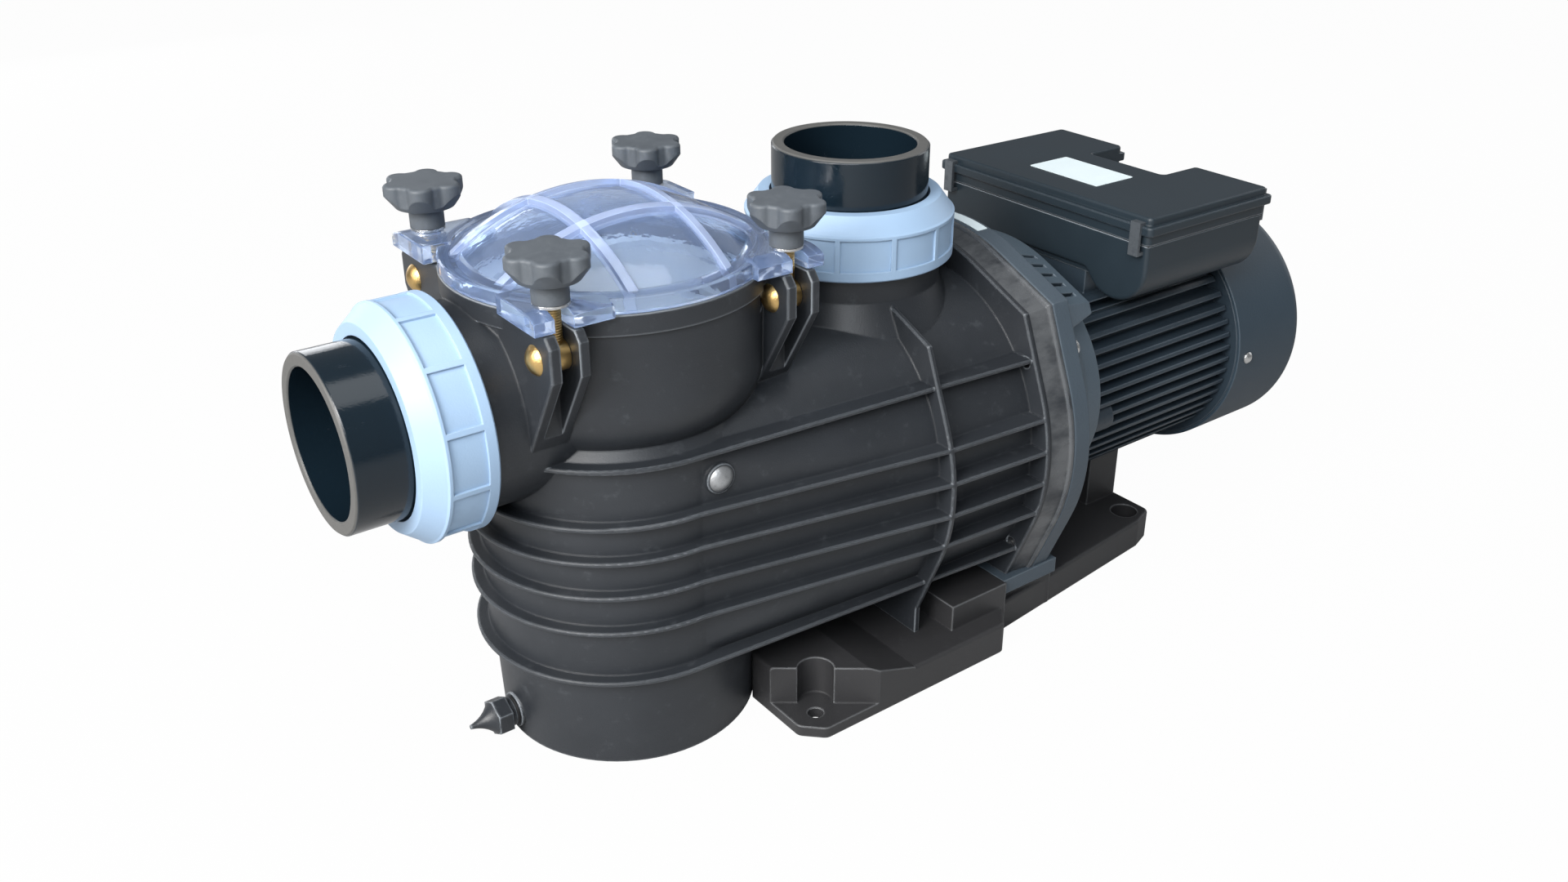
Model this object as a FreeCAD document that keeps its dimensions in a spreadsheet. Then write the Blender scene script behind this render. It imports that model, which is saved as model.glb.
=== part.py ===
import FreeCAD, Part
import math
import os
import re
import Sketcher

# A self-priming pool pump: strainer pot, volute and discharge in one moulding, with an electric motor behind.
# The origin is the centre of the pot's base on the floor. +X runs along the shaft to the motor, +Z is up.
# All sizes are in millimetres.

sizes = {
    # shaft line and ports
    "axis_height": 146,
    "suction_height": 246.9,
    "discharge_place": 192.2,
    "suction_face": 141,
    "discharge_face": 313.2,
    # strainer pot
    "pot_base_radius": 87.5,
    "pot_skirt_height": 62,
    "pot_radius": 92,
    "pot_wall": 5.5,
    "pot_floor": 8,
    "bowl_foot_height": 229,
    "bowl_foot_radius": 86,
    "bowl_height": 262,
    "bowl_radius": 97,
    "bowl_curve": 48,
    "rim_low": 307,
    "rim_height": 12.7,
    "rim_radius": 100.6,
    "rim_bore": 94,
    "basket_ledge": 298,
    # ribs that wrap the pot and the volute
    "rib_radius": 100.3,
    "edge_round": 1.2,
    "rib_thick": 3.2,
    # body between pot and volute, and the volute
    "flare_low": 66,
    "flare_high": 226,
    "flare_half": 91,
    "flare_corner": 14,
    "volute_half": 120,
    "volute_corner": 105,
    "volute_top": 117,
    "scroll_half": 123,
    "scroll_corner": 110,
    "scroll_top": 119,
    "body_wall": 7,
    "body_drop": 102,
    "chamber_radius": 95,
    "duct_bore": 32,
    "duct_wall": 5,
    "duct_end": 196,
    "riser_bore": 37,
    "riser_shoulder": 78,
    "riser_shoulder_low": 240,
    # transverse rings
    "ring_thick": 4,
    "front_ring_place": 177,
    "front_ring_radius": 134.5,
    "front_ring_gusset": 103,
    "middle_ring_place": 262,
    "middle_ring_radius": 139.5,
    "collar_step": 1.5,
    "flange_radius": 143.5,
    "horn_angle": 22.5,
    "body_rear": 286,
    # threaded unions for a 90 mm glued pipe
    "port_bore": 40,
    "port_thread": 61.5,
    "port_thread_length": 28,
    "port_shoulder": 64,
    "nut_length": 42.8,
    "nut_radius": 72.7,
    "nut_chamfer_radius": 71.4,
    "nut_front_radius": 63,
    "nut_chamfer_length": 11.2,
    "nut_lip": 7.5,
    "nut_rim": 7,
    "nut_panel_depth": 1.6,
    "nut_panels": 12,
    "nut_ridge": 3.5,
    "tail_radius": 54,
    "tail_length": 48.5,
    "tail_collar": 60.5,
    "socket_radius": 45.2,
    "socket_depth": 44,
    "union_ring_radius": 46,
    "union_ring_thick": 2,
    # clear lid
    "lid_radius": 100,
    "lid_flange": 9.3,
    "dome_radius": 148,
    "dome_foot": 88,
    "lid_wall": 4,
    "lid_spigot": 6,
    "lid_rib_place": 32,
    "lid_rib_width": 5.5,
    "lid_rib_foot": 93,
    "lid_rib_radius": 150,
    "ear_inner": 48,
    "ear_outer": 97,
    "ear_reach": 93,
    "ear_rise": 1.8,
    "seal_thick": 1.6,
    "seal_groove": 3,
    # swing bolts and knobs
    "bolt_spread": 79,
    "pin_height": 301,
    "pin_radius": 4,
    "pin_head_radius": 9,
    "pin_head_height": 5,
    "eye_radius": 9,
    "stud_radius": 5,
    "stud_top": 355,
    "slot_gap": 0.7,
    "clevis_plate": 6.5,
    "clevis_reach": 97,
    "clevis_top": 318.5,
    "clevis_foot": 232,
    "clevis_foot_reach": 60,
    "washer_thick": 1.6,
    "washer_radius": 10.5,
    "knob_stem_radius": 10.5,
    "knob_stem_length": 13,
    "knob_head_height": 16,
    "knob_core_radius": 20,
    "knob_lobe_radius": 7.5,
    "knob_reach": 25,
    "knob_taper": 7,
    "knob_lobes": 6,
    "knob_scallop": 3,
    "knob_round": 2,
    # basket
    "basket_radius": 76,
    "basket_base_radius": 68,
    "basket_base": 58,
    "basket_wall": 2.6,
    "basket_slots": 20,
    "basket_slot_width": 8,
    "handle_width": 14,
    "handle_thick": 3.5,
    "handle_reach": 84,
    "handle_rise": 27,
    # drain plug and side screw
    "drain_height": 17,
    "drain_boss_radius": 12,
    "drain_boss_end": 90,
    "drain_thread": 6,
    "plug_collar_radius": 10,
    "plug_collar": 4.5,
    "plug_grip_radius": 13,
    "plug_grip_length": 9,
    "plug_nose_length": 16,
    "plug_nose_hollow": 24,
    "plug_tip_radius": 1.5,
    "side_screw_place": 17,
    "side_screw_height": 200,
    "side_screw_head": 8.5,
    "side_screw_shank": 3,
    # foot
    "foot_front": 58,
    "foot_half": 135,
    "foot_plate": 24,
    "foot_deck": 37,
    "foot_deck_end": 112,
    "foot_deck_foot": 150,
    "foot_wide_end": 237,
    "foot_rear": 455,
    "foot_rear_half": 95,
    "foot_waist_half": 115,
    "foot_round": 2.5,
    "foot_corner": 14,
    "foot_tail": 22,
    "foot_tail_corner": 8,
    "foot_corner_round": 7,
    "foot_cell": 32,
    "foot_rib": 5,
    "foot_skin": 6,
    "shelf_height": 8,
    "bolt_hole_radius": 5.5,
    "front_hole_place": 76,
    "front_hole_spread": 233,
    "groove_radius": 12.5,
    "groove_reach": 11,
    "groove_turn": 53,
    "rear_hole_place": 436,
    "rear_hole_spread": 152,
    "saddle_front": 200,
    "saddle_rear": 254,
    "saddle_half": 118,
    "lug_rear": 310,
    "lug_thick": 12,
    "post_front": 418,
    "post_rear": 452,
    "post_half": 50,
    "screw_radius": 4,
    "screw_head_radius": 6.5,
    "screw_head_height": 8,
    "screw_spread": 62,
    # wet end
    "seal_plate_thick": 16,
    "seal_seat_radius": 20,
    "seal_seat_bore": 13,
    "impeller_radius": 66,
    "impeller_eye": 29,
    "impeller_front": 216,
    "impeller_rear": 262,
    "impeller_vanes": 6,
    "diffuser_radius": 88,
    "diffuser_front": 202,
    "diffuser_vanes": 8,
    "shaft_tip_radius": 9,
    "shaft_radius": 12.5,
    # motor
    "flange_plate": 16,
    "shield_radius": 120,
    "hub_inset": 14,
    "hood_radius": 134,
    "hood_rear_radius": 120,
    "hood_rear": 346,
    "louvre_width": 3.6,
    "louvre_inset": 9,
    "hood_rise": 84,
    "flange_bolt_inset": 10.5,
    "flange_bolt_angle": 33,
    "shield_wall": 6,
    "frame_front": 366,
    "frame_rear": 530,
    "frame_bore": 76,
    "frame_core": 82,
    "fin_radius": 93,
    "fin_pitch": 10.5,
    "fin_thick": 3.2,
    "fin_count": 7,
    "pad_rise": 94,
    "pad_half": 48,
    "bearing_radius": 26,
    "bearing_width": 15,
    "stator_front": 392,
    "stator_length": 90,
    "winding_length": 18,
    "rotor_radius": 45,
    "air_gap": 0.6,
    "rear_shield_radius": 98.6,
    "cowl_radius": 101.6,
    "cowl_wall": 2.5,
    "cowl_rear": 618,
    "cowl_round": 13,
    "fan_radius": 84,
    "fan_blades": 8,
    "tie_rod_radius": 2.5,
    "tie_rod_circle": 87,
    # terminal box
    "box_front": 386,
    "box_rear": 522,
    "box_half": 108,
    "box_lid_half": 109,
    "box_lid_lap": 1,
    "ledge_rise": 8,
    "ledge_height": 7,
    "ledge_reach": 4.5,
    "clip_width": 9,
    "clip_thick": 2.5,
    "clip_drop": 7,
    "box_wall": 3,
    "box_rise": 130,
    "box_tray_rise": 98,
    "box_gasket": 1,
    "box_round": 4,
    "box_lid_round": 2,
    "box_lid_height": 21,
    "bulge_radius": 30,
    "bulge_rise": 13,
    "well_inset": 3,
    "well_border": 8,
    "bulge_blend": 7,
    "notch_front": 481,
    "notch_half": 40,
    "capacitor_radius": 21,
    "capacitor_length": 84,
    "terminal_half": 24,
    "terminal_height": 22,
    "gland_bore": 5,
    "gland_radius": 11,
    "gland_length": 27,
}

# Where the six ribs lie, from the top one to the bottom one.
rib_heights = {"rib_one": 221.2, "rib_two": 182.2, "rib_three": 158.4,
               "rib_four": 133.9, "rib_five": 108.1, "rib_six": 70.6}
sizes.update(rib_heights)

# Heights that follow the shaft line.
heights = {
    "body_underside": "(axis_height - body_drop)",
    "pad_height": "(axis_height + pad_rise)",
    "box_tray_base": "(axis_height + box_tray_rise)",
    "box_top": "(axis_height + box_rise)",
}

doc = FreeCAD.newDocument("pool_pump")
sheet = doc.addObject("Spreadsheet::Sheet", "Sizes")
for row, (alias, value) in enumerate(sizes.items(), start=1):
    sheet.set(f"A{row}", alias)
    sheet.set(f"B{row}", str(value))
    sheet.setAlias(f"B{row}", alias)
doc.recompute()

ways = {
    "+Z": FreeCAD.Rotation(),
    "-Z": FreeCAD.Rotation(FreeCAD.Vector(1, 0, 0), 180),
    "+X": FreeCAD.Rotation(FreeCAD.Vector(0, 1, 0), 90),
    "-X": FreeCAD.Rotation(FreeCAD.Vector(0, 1, 0), -90),
    "+Y": FreeCAD.Rotation(FreeCAD.Vector(1, 0, 0), -90),
    "-Y": FreeCAD.Rotation(FreeCAD.Vector(1, 0, 0), 90),
}
finished = []


def linked(text):
    """The expression with each height written out and each size named as a cell of the sheet."""
    text = re.sub(r"[a-z]\w*", lambda word: heights.get(word[0], word[0]), text)
    return re.sub(r"[a-z]\w*", lambda word: "Sizes." + word[0] if word[0] in sizes else word[0], text)


def number(text):
    return float(sheet.evalExpression(linked(text)))


def bind(thing, **values):
    for prop, text in values.items():
        thing.setExpression(prop, linked(text))
    return thing


def placed(thing, at=("0", "0", "0"), way="+Z"):
    thing.Placement = FreeCAD.Placement(FreeCAD.Vector(), ways[way])
    for letter, text in zip("xyz", at):
        if text != "0":
            thing.setExpression(f"Placement.Base.{letter}", linked(text))
    return thing


def rod(name, radius, length, at=("0", "0", "0"), way="+Z"):
    thing = doc.addObject("Part::Cylinder", name)
    return placed(bind(thing, Radius=radius, Height=length), at, way)


def ball(name, radius, at=("0", "0", "0")):
    return placed(bind(doc.addObject("Part::Sphere", name), Radius=radius), at)


def hoop(name, radius, thick, at=("0", "0", "0"), way="+Z"):
    thing = doc.addObject("Part::Torus", name)
    return placed(bind(thing, Radius1=radius, Radius2=thick), at, way)


def block(name, low, high):
    """A box between two opposite corners."""
    lengths = [f"({top}) - ({base})" for base, top in zip(low, high)]
    thing = bind(doc.addObject("Part::Box", name), Length=lengths[0], Width=lengths[1], Height=lengths[2])
    return placed(thing, low)


def joined(name, *things):
    thing = doc.addObject("Part::MultiFuse", name)
    thing.Shapes = list(things)
    thing.Refine = True
    return thing


def shared(name, *things):
    thing = doc.addObject("Part::MultiCommon", name)
    thing.Shapes = list(things)
    return thing


def cut(name, base, *tools):
    thing = doc.addObject("Part::Cut", name)
    thing.Base = base
    thing.Tool = tools[0] if len(tools) == 1 else joined(name + "_tools", *tools)
    return thing


def group(name, things):
    """Separate solids in one node."""
    thing = doc.addObject("Part::Compound", name)
    thing.Links = list(things)
    return thing


def tube(name, outer, inner, length, at=("0", "0", "0"), way="+Z"):
    wall = cut(name, rod(name + "_outer", outer, length), rod(name + "_bore", inner, length))
    return placed(wall, at, way)


def spun(name, thing, angle, at=("0", "0", "0"), axis=(0, 0, 1)):
    """A turned copy of a shape, about an axis through its own origin, then moved."""
    copy = doc.addObject("Part::Compound", name)
    copy.Links = [thing]
    copy.Placement = FreeCAD.Placement(FreeCAD.Vector(), FreeCAD.Rotation(FreeCAD.Vector(*axis), angle))
    for letter, text in zip("xyz", at):
        if text != "0":
            copy.setExpression(f"Placement.Base.{letter}", linked(text))
    return copy


def softened(name, thing, radius, picked):
    """The same solid with some of its edges rounded: those that picked chooses, from an edge and its box."""
    doc.recompute()
    size = number(radius)
    fillet = doc.addObject("Part::Fillet", name)
    fillet.Base = thing
    fillet.Edges = [(index, size, size) for index, edge in enumerate(thing.Shape.Edges, start=1)
                    if picked(edge, edge.BoundBox)]
    return fillet


def flat_in_x(edge, box):
    return box.XLength < 0.01


def flat_in_z(edge, box):
    return box.ZLength < 0.01


def upright(edge, box):
    return box.ZLength > 0.01 and box.XLength < 0.01 and box.YLength < 0.01


def keep(thing, label):
    thing.Label = label
    finished.append(thing)
    return thing


def arc_between(start, end, radius, left):
    """The short arc of a radius from start to end, bulging to the left or right of the way there."""
    chord = end - start
    middle = (start + end) * 0.5
    across = FreeCAD.Vector(-chord.y, chord.x, 0).normalize()
    depth = math.sqrt(max(radius ** 2 - (chord.Length / 2) ** 2, 0))
    centre = middle - across * depth if left else middle + across * depth
    first, last = (end, start) if left else (start, end)
    circle = Part.Circle(centre, FreeCAD.Vector(0, 0, 1), radius)
    angle = math.atan2(first.y - centre.y, first.x - centre.x)
    sweep = (math.atan2(last.y - centre.y, last.x - centre.x) - angle) % (2 * math.pi)
    return Part.ArcOfCircle(circle, angle, angle + sweep)


def outline(body, plane, points):
    """A closed sketch through points. A third value is the radius of the arc that arrives at the point:
    it bulges to the left of the way there, or to the right with a minus sign in front."""
    sketch = body.newObject("Sketcher::SketchObject", body.Name + "_outline")
    base = [feature for feature in body.Origin.OriginFeatures if feature.Role == plane][0]
    sketch.AttachmentSupport = [(base, "")]
    sketch.MapMode = "FlatFace"
    spots = [FreeCAD.Vector(number(point[0]), number(point[1]), 0) for point in points]
    ends = []
    for index, point in enumerate(points):
        start, end = spots[index - 1], spots[index]
        if len(point) == 3:
            left = not point[2].startswith("-")
            radius = point[2].lstrip("-")
            sketch.addGeometry(arc_between(start, end, number(radius), left))
            ends.append((2, 1) if left else (1, 2))
        else:
            sketch.addGeometry(Part.LineSegment(start, end))
            ends.append((1, 2))
    for index, point in enumerate(points):
        after = (index + 1) % len(points)
        tip = ends[index][1]
        sketch.addConstraint(Sketcher.Constraint("Coincident", index, tip, after, ends[after][0]))
        for kind, text, spot, line in (("DistanceX", point[0], spots[index].x, -2),
                                       ("DistanceY", point[1], spots[index].y, -1)):
            if text == "0":
                sketch.addConstraint(Sketcher.Constraint("PointOnObject", index, tip, line))
            else:
                mark = sketch.addConstraint(Sketcher.Constraint(kind, -1, 1, index, tip, spot))
                sketch.setExpression(f"Constraints[{mark}]", linked(text))
        if len(point) == 3:
            radius = point[2].lstrip("-")
            mark = sketch.addConstraint(Sketcher.Constraint("Radius", index, number(radius)))
            sketch.setExpression(f"Constraints[{mark}]", linked(radius))
    return sketch


def turned(name, points, about="Z", at=("0", "0", "0"), way="+Z"):
    """A solid of revolution. About Z the points are (radius, height), about X they are (x, radius)."""
    body = doc.addObject("PartDesign::Body", name)
    sketch = outline(body, "XZ_Plane", points)
    feature = body.newObject("PartDesign::Revolution", name + "_turn")
    feature.Profile = sketch
    feature.ReferenceAxis = (sketch, ["V_Axis" if about == "Z" else "H_Axis"])
    feature.Angle = 360
    sketch.Visibility = False
    return placed(body, at, way)


def slab(name, plane, points, length, at=("0", "0", "0")):
    """A plate: an outline in the plane XY, XZ or YZ with a thickness along +Z, -Y or +X."""
    body = doc.addObject("PartDesign::Body", name)
    sketch = outline(body, plane + "_Plane", points)
    feature = body.newObject("PartDesign::Pad", name + "_pad")
    feature.Profile = sketch
    bind(feature, Length=length)
    return placed(body, at)


def rounded_box(half, base, top, corner):
    """A rectangle about the middle plane, in YZ, with round corners."""
    half = f"({half})"
    flat, low, high = f"({half} - {corner})", f"({base}) + {corner}", f"({top}) - {corner}"
    return [
        (flat, base), (half, low, f"-{corner}"), (half, high), (flat, top, f"-{corner}"),
        (f"-{flat}", top), (f"-{half}", high, f"-{corner}"), (f"-{half}", low),
        (f"-{flat}", base, f"-{corner}"),
    ]


def round_shaft(half, corner, top=None):
    """A square on the shaft line, in YZ, with large round corners. Its top can lie lower than its sides."""
    return rounded_box(half, f"axis_height - ({half})", f"axis_height + {top or half}", corner)


def horned(radius):
    """A circle on the shaft line, in YZ, drawn out to a corner on each diagonal."""
    radius = f"({radius})"
    near, far = f"{radius} * sin(horn_angle)", f"{radius} * cos(horn_angle)"
    tip = f"{radius} * cos(45) / cos(45 - horn_angle)"
    points = [
        (far, f"-{near}"), (far, near, f"-{radius}"), (tip, tip), (near, far),
        (f"-{near}", far, f"-{radius}"), (f"-{tip}", tip), (f"-{far}", near),
        (f"-{far}", f"-{near}", f"-{radius}"), (f"-{tip}", f"-{tip}"), (f"-{near}", f"-{far}"),
        (near, f"-{far}", f"-{radius}"), (tip, f"-{tip}")]
    return [(y, f"axis_height + ({z})", *bend) for y, z, *bend in points]


def lofted(name, first, last, length, at=("0", "0", "0")):
    """A straight-sided solid between two outlines in YZ."""
    body = doc.addObject("PartDesign::Body", name)
    start, end = outline(body, "YZ_Plane", first), outline(body, "YZ_Plane", last)
    end.setExpression("AttachmentOffset.Base.z", linked(length))
    feature = body.newObject("PartDesign::AdditiveLoft", name + "_loft")
    feature.Profile = start
    feature.Sections = [end]
    feature.Ruled = True
    return placed(body, at)


def shaft_rod(name, radius, start, end):
    return rod(name, radius, f"({end}) - ({start})", (start, "0", "axis_height"), "+X")


def shaft_turned(name, points):
    """A solid turned about the shaft line, from points (x, radius)."""
    return turned(name, points, "X", ("0", "0", "axis_height"))


corners = {"front_left": (-1, -1), "front_right": (-1, 1), "rear_left": (1, -1), "rear_right": (1, 1)}
rim_top = "(rim_low + rim_height)"
lid_base = f"({rim_top} + 0.3)"
lid_top = f"({lid_base} + lid_flange)"
ear_top = f"({lid_top} + ear_rise)"
roll = f"({ear_top} - pin_height)"
slot_half = "(stud_radius + slot_gap)"
side_face = "(-flare_half - (volute_half - flare_half) * side_screw_place / front_ring_place - 0.2)"


def clevis(name, side, way):
    """The bracket on the pot that carries one swing bolt, slotted for it."""
    root = "(bowl_radius / 3)"
    reach = [(root, "clevis_foot"), ("clevis_foot_reach", "clevis_foot"), ("clevis_reach", "clevis_top - 26"),
             ("clevis_reach", "clevis_top - 6"), ("clevis_reach - 5", "clevis_top"), (root, "clevis_top")]
    points = [(f"{way} * ({y})", z) for y, z in reach]
    width = f"2 * ({slot_half} + clevis_plate)"
    left = f"{side} * bolt_spread - {slot_half} - clevis_plate"
    bracket = slab(name, "YZ", points, width, (left, "0", "0"))
    bracket = softened(name + "_soft", bracket, "edge_round", flat_in_x)
    near, far = f"{way} * (bolt_spread - eye_radius - 1)", f"{way} * (clevis_reach + 5)"
    low, high = (near, far) if way > 0 else (far, near)
    slot = block(name + "_slot", (f"{side} * bolt_spread - {slot_half}", low, "clevis_foot - 5"),
                 (f"{side} * bolt_spread + {slot_half}", high, "clevis_top + 5"))
    hole = rod(name + "_hole", "pin_radius + 0.05", width, (left, f"{way} * bolt_spread", "pin_height"), "+X")
    return cut(name + "_bracket", bracket, slot, hole)


def head_relief(side, way):
    """The hollow in the pot's wall beside the inner head of a pivot pin."""
    face = f"{side} * (bolt_spread - {slot_half} - clevis_plate)"
    return rod("head_relief", "pin_head_radius + 0.6", "pin_head_height + 0.5",
               (face, f"{way} * bolt_spread", "pin_height"), "-X" if side > 0 else "+X")


def volute_hollow():
    """The space behind the pot, round the inlet duct, open at the rear for the impeller."""
    section = round_shaft("volute_half - body_wall", "volute_corner - body_wall", "volute_top - body_wall")
    flare = lofted("flare_hollow", rounded_box("flare_half - body_wall", "flare_low + body_wall",
                                               "flare_high - body_wall", "flare_corner"),
                   section, "front_ring_place")
    volute = slab("volute_hollow", "YZ", section,
                  "middle_ring_place - front_ring_place - 4", ("front_ring_place", "0", "0"))
    mouth = shaft_rod("rear_mouth", "chamber_radius", "middle_ring_place - 10", "body_rear + 5")
    pot_side = rod("pot_side", "pot_radius + 1", "rim_low")
    floor = block("chamber_floor", ("-20", "-foot_half", "-20"),
                  ("body_rear + 10", "foot_half", "body_underside + body_wall"))
    duct_tube = shaft_rod("duct_tube", "duct_bore + duct_wall", "60", "duct_end")
    posts = [rod("screw_post", "screw_radius + 5", "24 + body_wall", (x, y, "body_underside"))
             for x, y in foot_screw_places()[:4]]
    return cut("chamber", joined("chamber_space", flare, volute, mouth), pot_side, floor, duct_tube, *posts)


def pump_body():
    pot = turned("pot", [
        ("0", "0"), ("pot_base_radius", "0"), ("pot_base_radius + 2", "pot_skirt_height"),
        ("pot_radius", "rib_six"), ("pot_radius", "rib_one"), ("bowl_foot_radius", "bowl_foot_height"),
        ("bowl_radius", "bowl_height", "-bowl_curve"), ("bowl_radius + 1", "rim_low"),
        ("rim_radius", "rim_low"), ("rim_radius", rim_top), ("0", rim_top)])
    flare = lofted("flare", rounded_box("flare_half", "flare_low", "flare_high", "flare_corner"),
                   round_shaft("volute_half", "volute_corner", "volute_top"), "front_ring_place")
    scroll = lofted("scroll", round_shaft("volute_half", "volute_corner", "volute_top"),
                    round_shaft("scroll_half", "scroll_corner", "scroll_top"),
                    "middle_ring_place - front_ring_place", ("front_ring_place", "0", "0"))
    shoulder = turned("riser_shoulder", [
        ("0", "riser_shoulder_low"), ("riser_shoulder", "riser_shoulder_low"),
        ("port_shoulder", "riser_shoulder_low + 2 * (riser_shoulder - port_shoulder)"),
        ("0", "riser_shoulder_low + 2 * (riser_shoulder - port_shoulder)")],
        "Z", ("discharge_place", "0", "0"))
    collar = lofted("collar", horned("middle_ring_radius - collar_step"), horned("flange_radius - collar_step"),
                    "body_rear - middle_ring_place", ("middle_ring_place", "0", "0"))
    rings = [softened(f"{name}_ring_soft",
                      slab(f"{name}_ring", "YZ", horned(radius), "ring_thick", (place, "0", "0")),
                      "min(edge_round; ring_thick / 3)", flat_in_x)
             for name, radius, place in (
                 ("front", "front_ring_radius", "front_ring_place"),
                 ("middle", "middle_ring_radius", "middle_ring_place"),
                 ("rear", "flange_radius", "body_rear - ring_thick"))]
    underside = block("underside", ("foot_front", "-foot_half - 40", "-20"),
                      ("body_rear + 10", "foot_half + 40", "body_underside"))
    barrel = cut("barrel", joined("barrel_sum", flare, scroll, collar, shoulder, *rings), underside)
    gusset = block("ring_gusset", ("front_ring_place", "-front_ring_gusset", "foot_plate"),
                   ("front_ring_place + ring_thick", "front_ring_gusset", "axis_height"))
    ribs = []
    for name in rib_heights:
        front = f"sqrt(front_ring_radius^2 - ({name} - axis_height)^2)"
        middle = f"sqrt(middle_ring_radius^2 - ({name} - axis_height)^2)"
        rib = slab(name, "XY", [
            ("0", "-rib_radius", "-rib_radius"), ("front_ring_place", f"-{front}"),
            ("middle_ring_place", f"-{middle}"), ("middle_ring_place", middle),
            ("front_ring_place", front), ("0", "rib_radius"), ("-rib_radius", "0", "-rib_radius")],
            "rib_thick", ("0", "0", f"{name} - rib_thick / 2"))
        ribs.append(softened(name + "_soft", rib, "min(edge_round; rib_thick / 3)", flat_in_z))
    suction = rod("suction_boss", "port_shoulder", "suction_face - port_thread_length - 60",
                  ("-60", "0", "suction_height"), "-X")
    suction_thread = rod("suction_thread", "port_thread", "suction_face - 60",
                         ("-60", "0", "suction_height"), "-X")
    riser = rod("riser_boss", "port_shoulder", "discharge_face - port_thread_length - suction_height",
                ("discharge_place", "0", "suction_height"))
    riser_thread = rod("riser_thread", "port_thread", "discharge_face - suction_height",
                       ("discharge_place", "0", "suction_height"))
    brackets = [clevis("clevis_" + name, side, way) for name, (side, way) in corners.items()]
    drain = rod("drain_boss", "drain_boss_radius", "14", ("-drain_boss_end + 14", "0", "drain_height"), "-X")

    cavity = turned("pot_cavity", [
        ("0", "pot_floor"), ("pot_base_radius - pot_wall", "pot_floor"),
        ("pot_radius - pot_wall", "rib_six"), ("pot_radius - pot_wall", "rib_one - 6"),
        ("bowl_foot_radius - pot_wall", "bowl_foot_height"),
        ("bowl_radius - pot_wall", "bowl_height", "-bowl_curve"),
        ("bowl_radius - pot_wall", "basket_ledge"), ("rim_bore", "basket_ledge"),
        ("rim_bore", f"{rim_top} + 5"), ("0", f"{rim_top} + 5")])
    chamber = volute_hollow()
    duct = shaft_rod("duct", "duct_bore", "60", "duct_end + 5")
    riser_duct = rod("riser_duct", "riser_bore", "discharge_face - 200", ("discharge_place", "0", "200"))
    riser_mouth = rod("riser_mouth", "port_bore", "port_thread_length + 5",
                      ("discharge_place", "0", "discharge_face - port_thread_length"))
    inlet = rod("inlet", "port_bore", "suction_face - 50 + 5", ("-50", "0", "suction_height"), "-X")
    grooves = [tube("suction_groove", "union_ring_radius + union_ring_thick + 0.2",
                    "union_ring_radius - union_ring_thick - 0.2", "5",
                    ("-suction_face + 2 * union_ring_thick - 0.2", "0", "suction_height"), "-X"),
               tube("riser_groove", "union_ring_radius + union_ring_thick + 0.2",
                    "union_ring_radius - union_ring_thick - 0.2", "5",
                    ("discharge_place", "0", "discharge_face - 2 * union_ring_thick + 0.2")),
               tube("seal_groove_ring", "(rim_bore + rim_radius) / 2 + seal_thick + 0.05",
                    "(rim_bore + rim_radius) / 2 - seal_thick - 0.05", "5",
                    ("0", "0", f"{rim_top} - seal_groove"))]
    drain_hole = rod("drain_hole", "drain_thread", "40", ("-drain_boss_end + 30", "0", "drain_height"), "-X")
    side_boss = rod("side_boss", "side_screw_head + 1.5", "8",
                    ("side_screw_place", f"{side_face} + 6", "side_screw_height"), "-Y")
    screw_hole = rod("side_screw_hole", "side_screw_shank + 0.05", "30",
                     ("side_screw_place", f"{side_face} + 8", "side_screw_height"), "-Y")
    flange_holes = [shaft_rod(f"insert_{step}", "screw_radius + 0.05", "body_rear - 24", "body_rear + 5")
                    for step in range(4)]
    for step, hole in enumerate(flange_holes):
        placed(hole, flange_bolt_place(step, "body_rear - 24"), "+X")
    foot_holes = [rod(f"foot_insert_{step}", "screw_radius + 0.05", "body_underside - 20", (x, y, "38"))
                  for step, (x, y) in enumerate(foot_screw_places()[:4])]
    solid = joined("body_solid", pot, barrel, gusset, *ribs, suction, suction_thread, riser, riser_thread,
                   *brackets, drain, side_boss)
    return cut("pump_body", solid, cavity, chamber, duct, riser_duct, riser_mouth, inlet, *grooves,
               drain_hole, screw_hole, *flange_holes, *foot_holes,
               *[head_relief(side, way) for side, way in corners.values()])


def flange_bolt_place(step, start):
    side, rise = ((-1, 1), (1, 1), (1, -1), (-1, -1))[step]
    reach = "(flange_radius - flange_bolt_inset)"
    return (start, f"{side} * {reach} * cos(flange_bolt_angle)",
            f"axis_height + {rise} * {reach} * sin(flange_bolt_angle)")


def foot_screw_places():
    """The first four go up into the volute, the last two into the motor flange."""
    places = [(x, f"{way} * screw_spread")
              for x in ("saddle_front + 12", "saddle_rear - 12") for way in (-1, 1)]
    return places + [("body_rear + flange_plate / 2", f"{way} * (screw_spread + 20)") for way in (-1, 1)]


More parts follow.
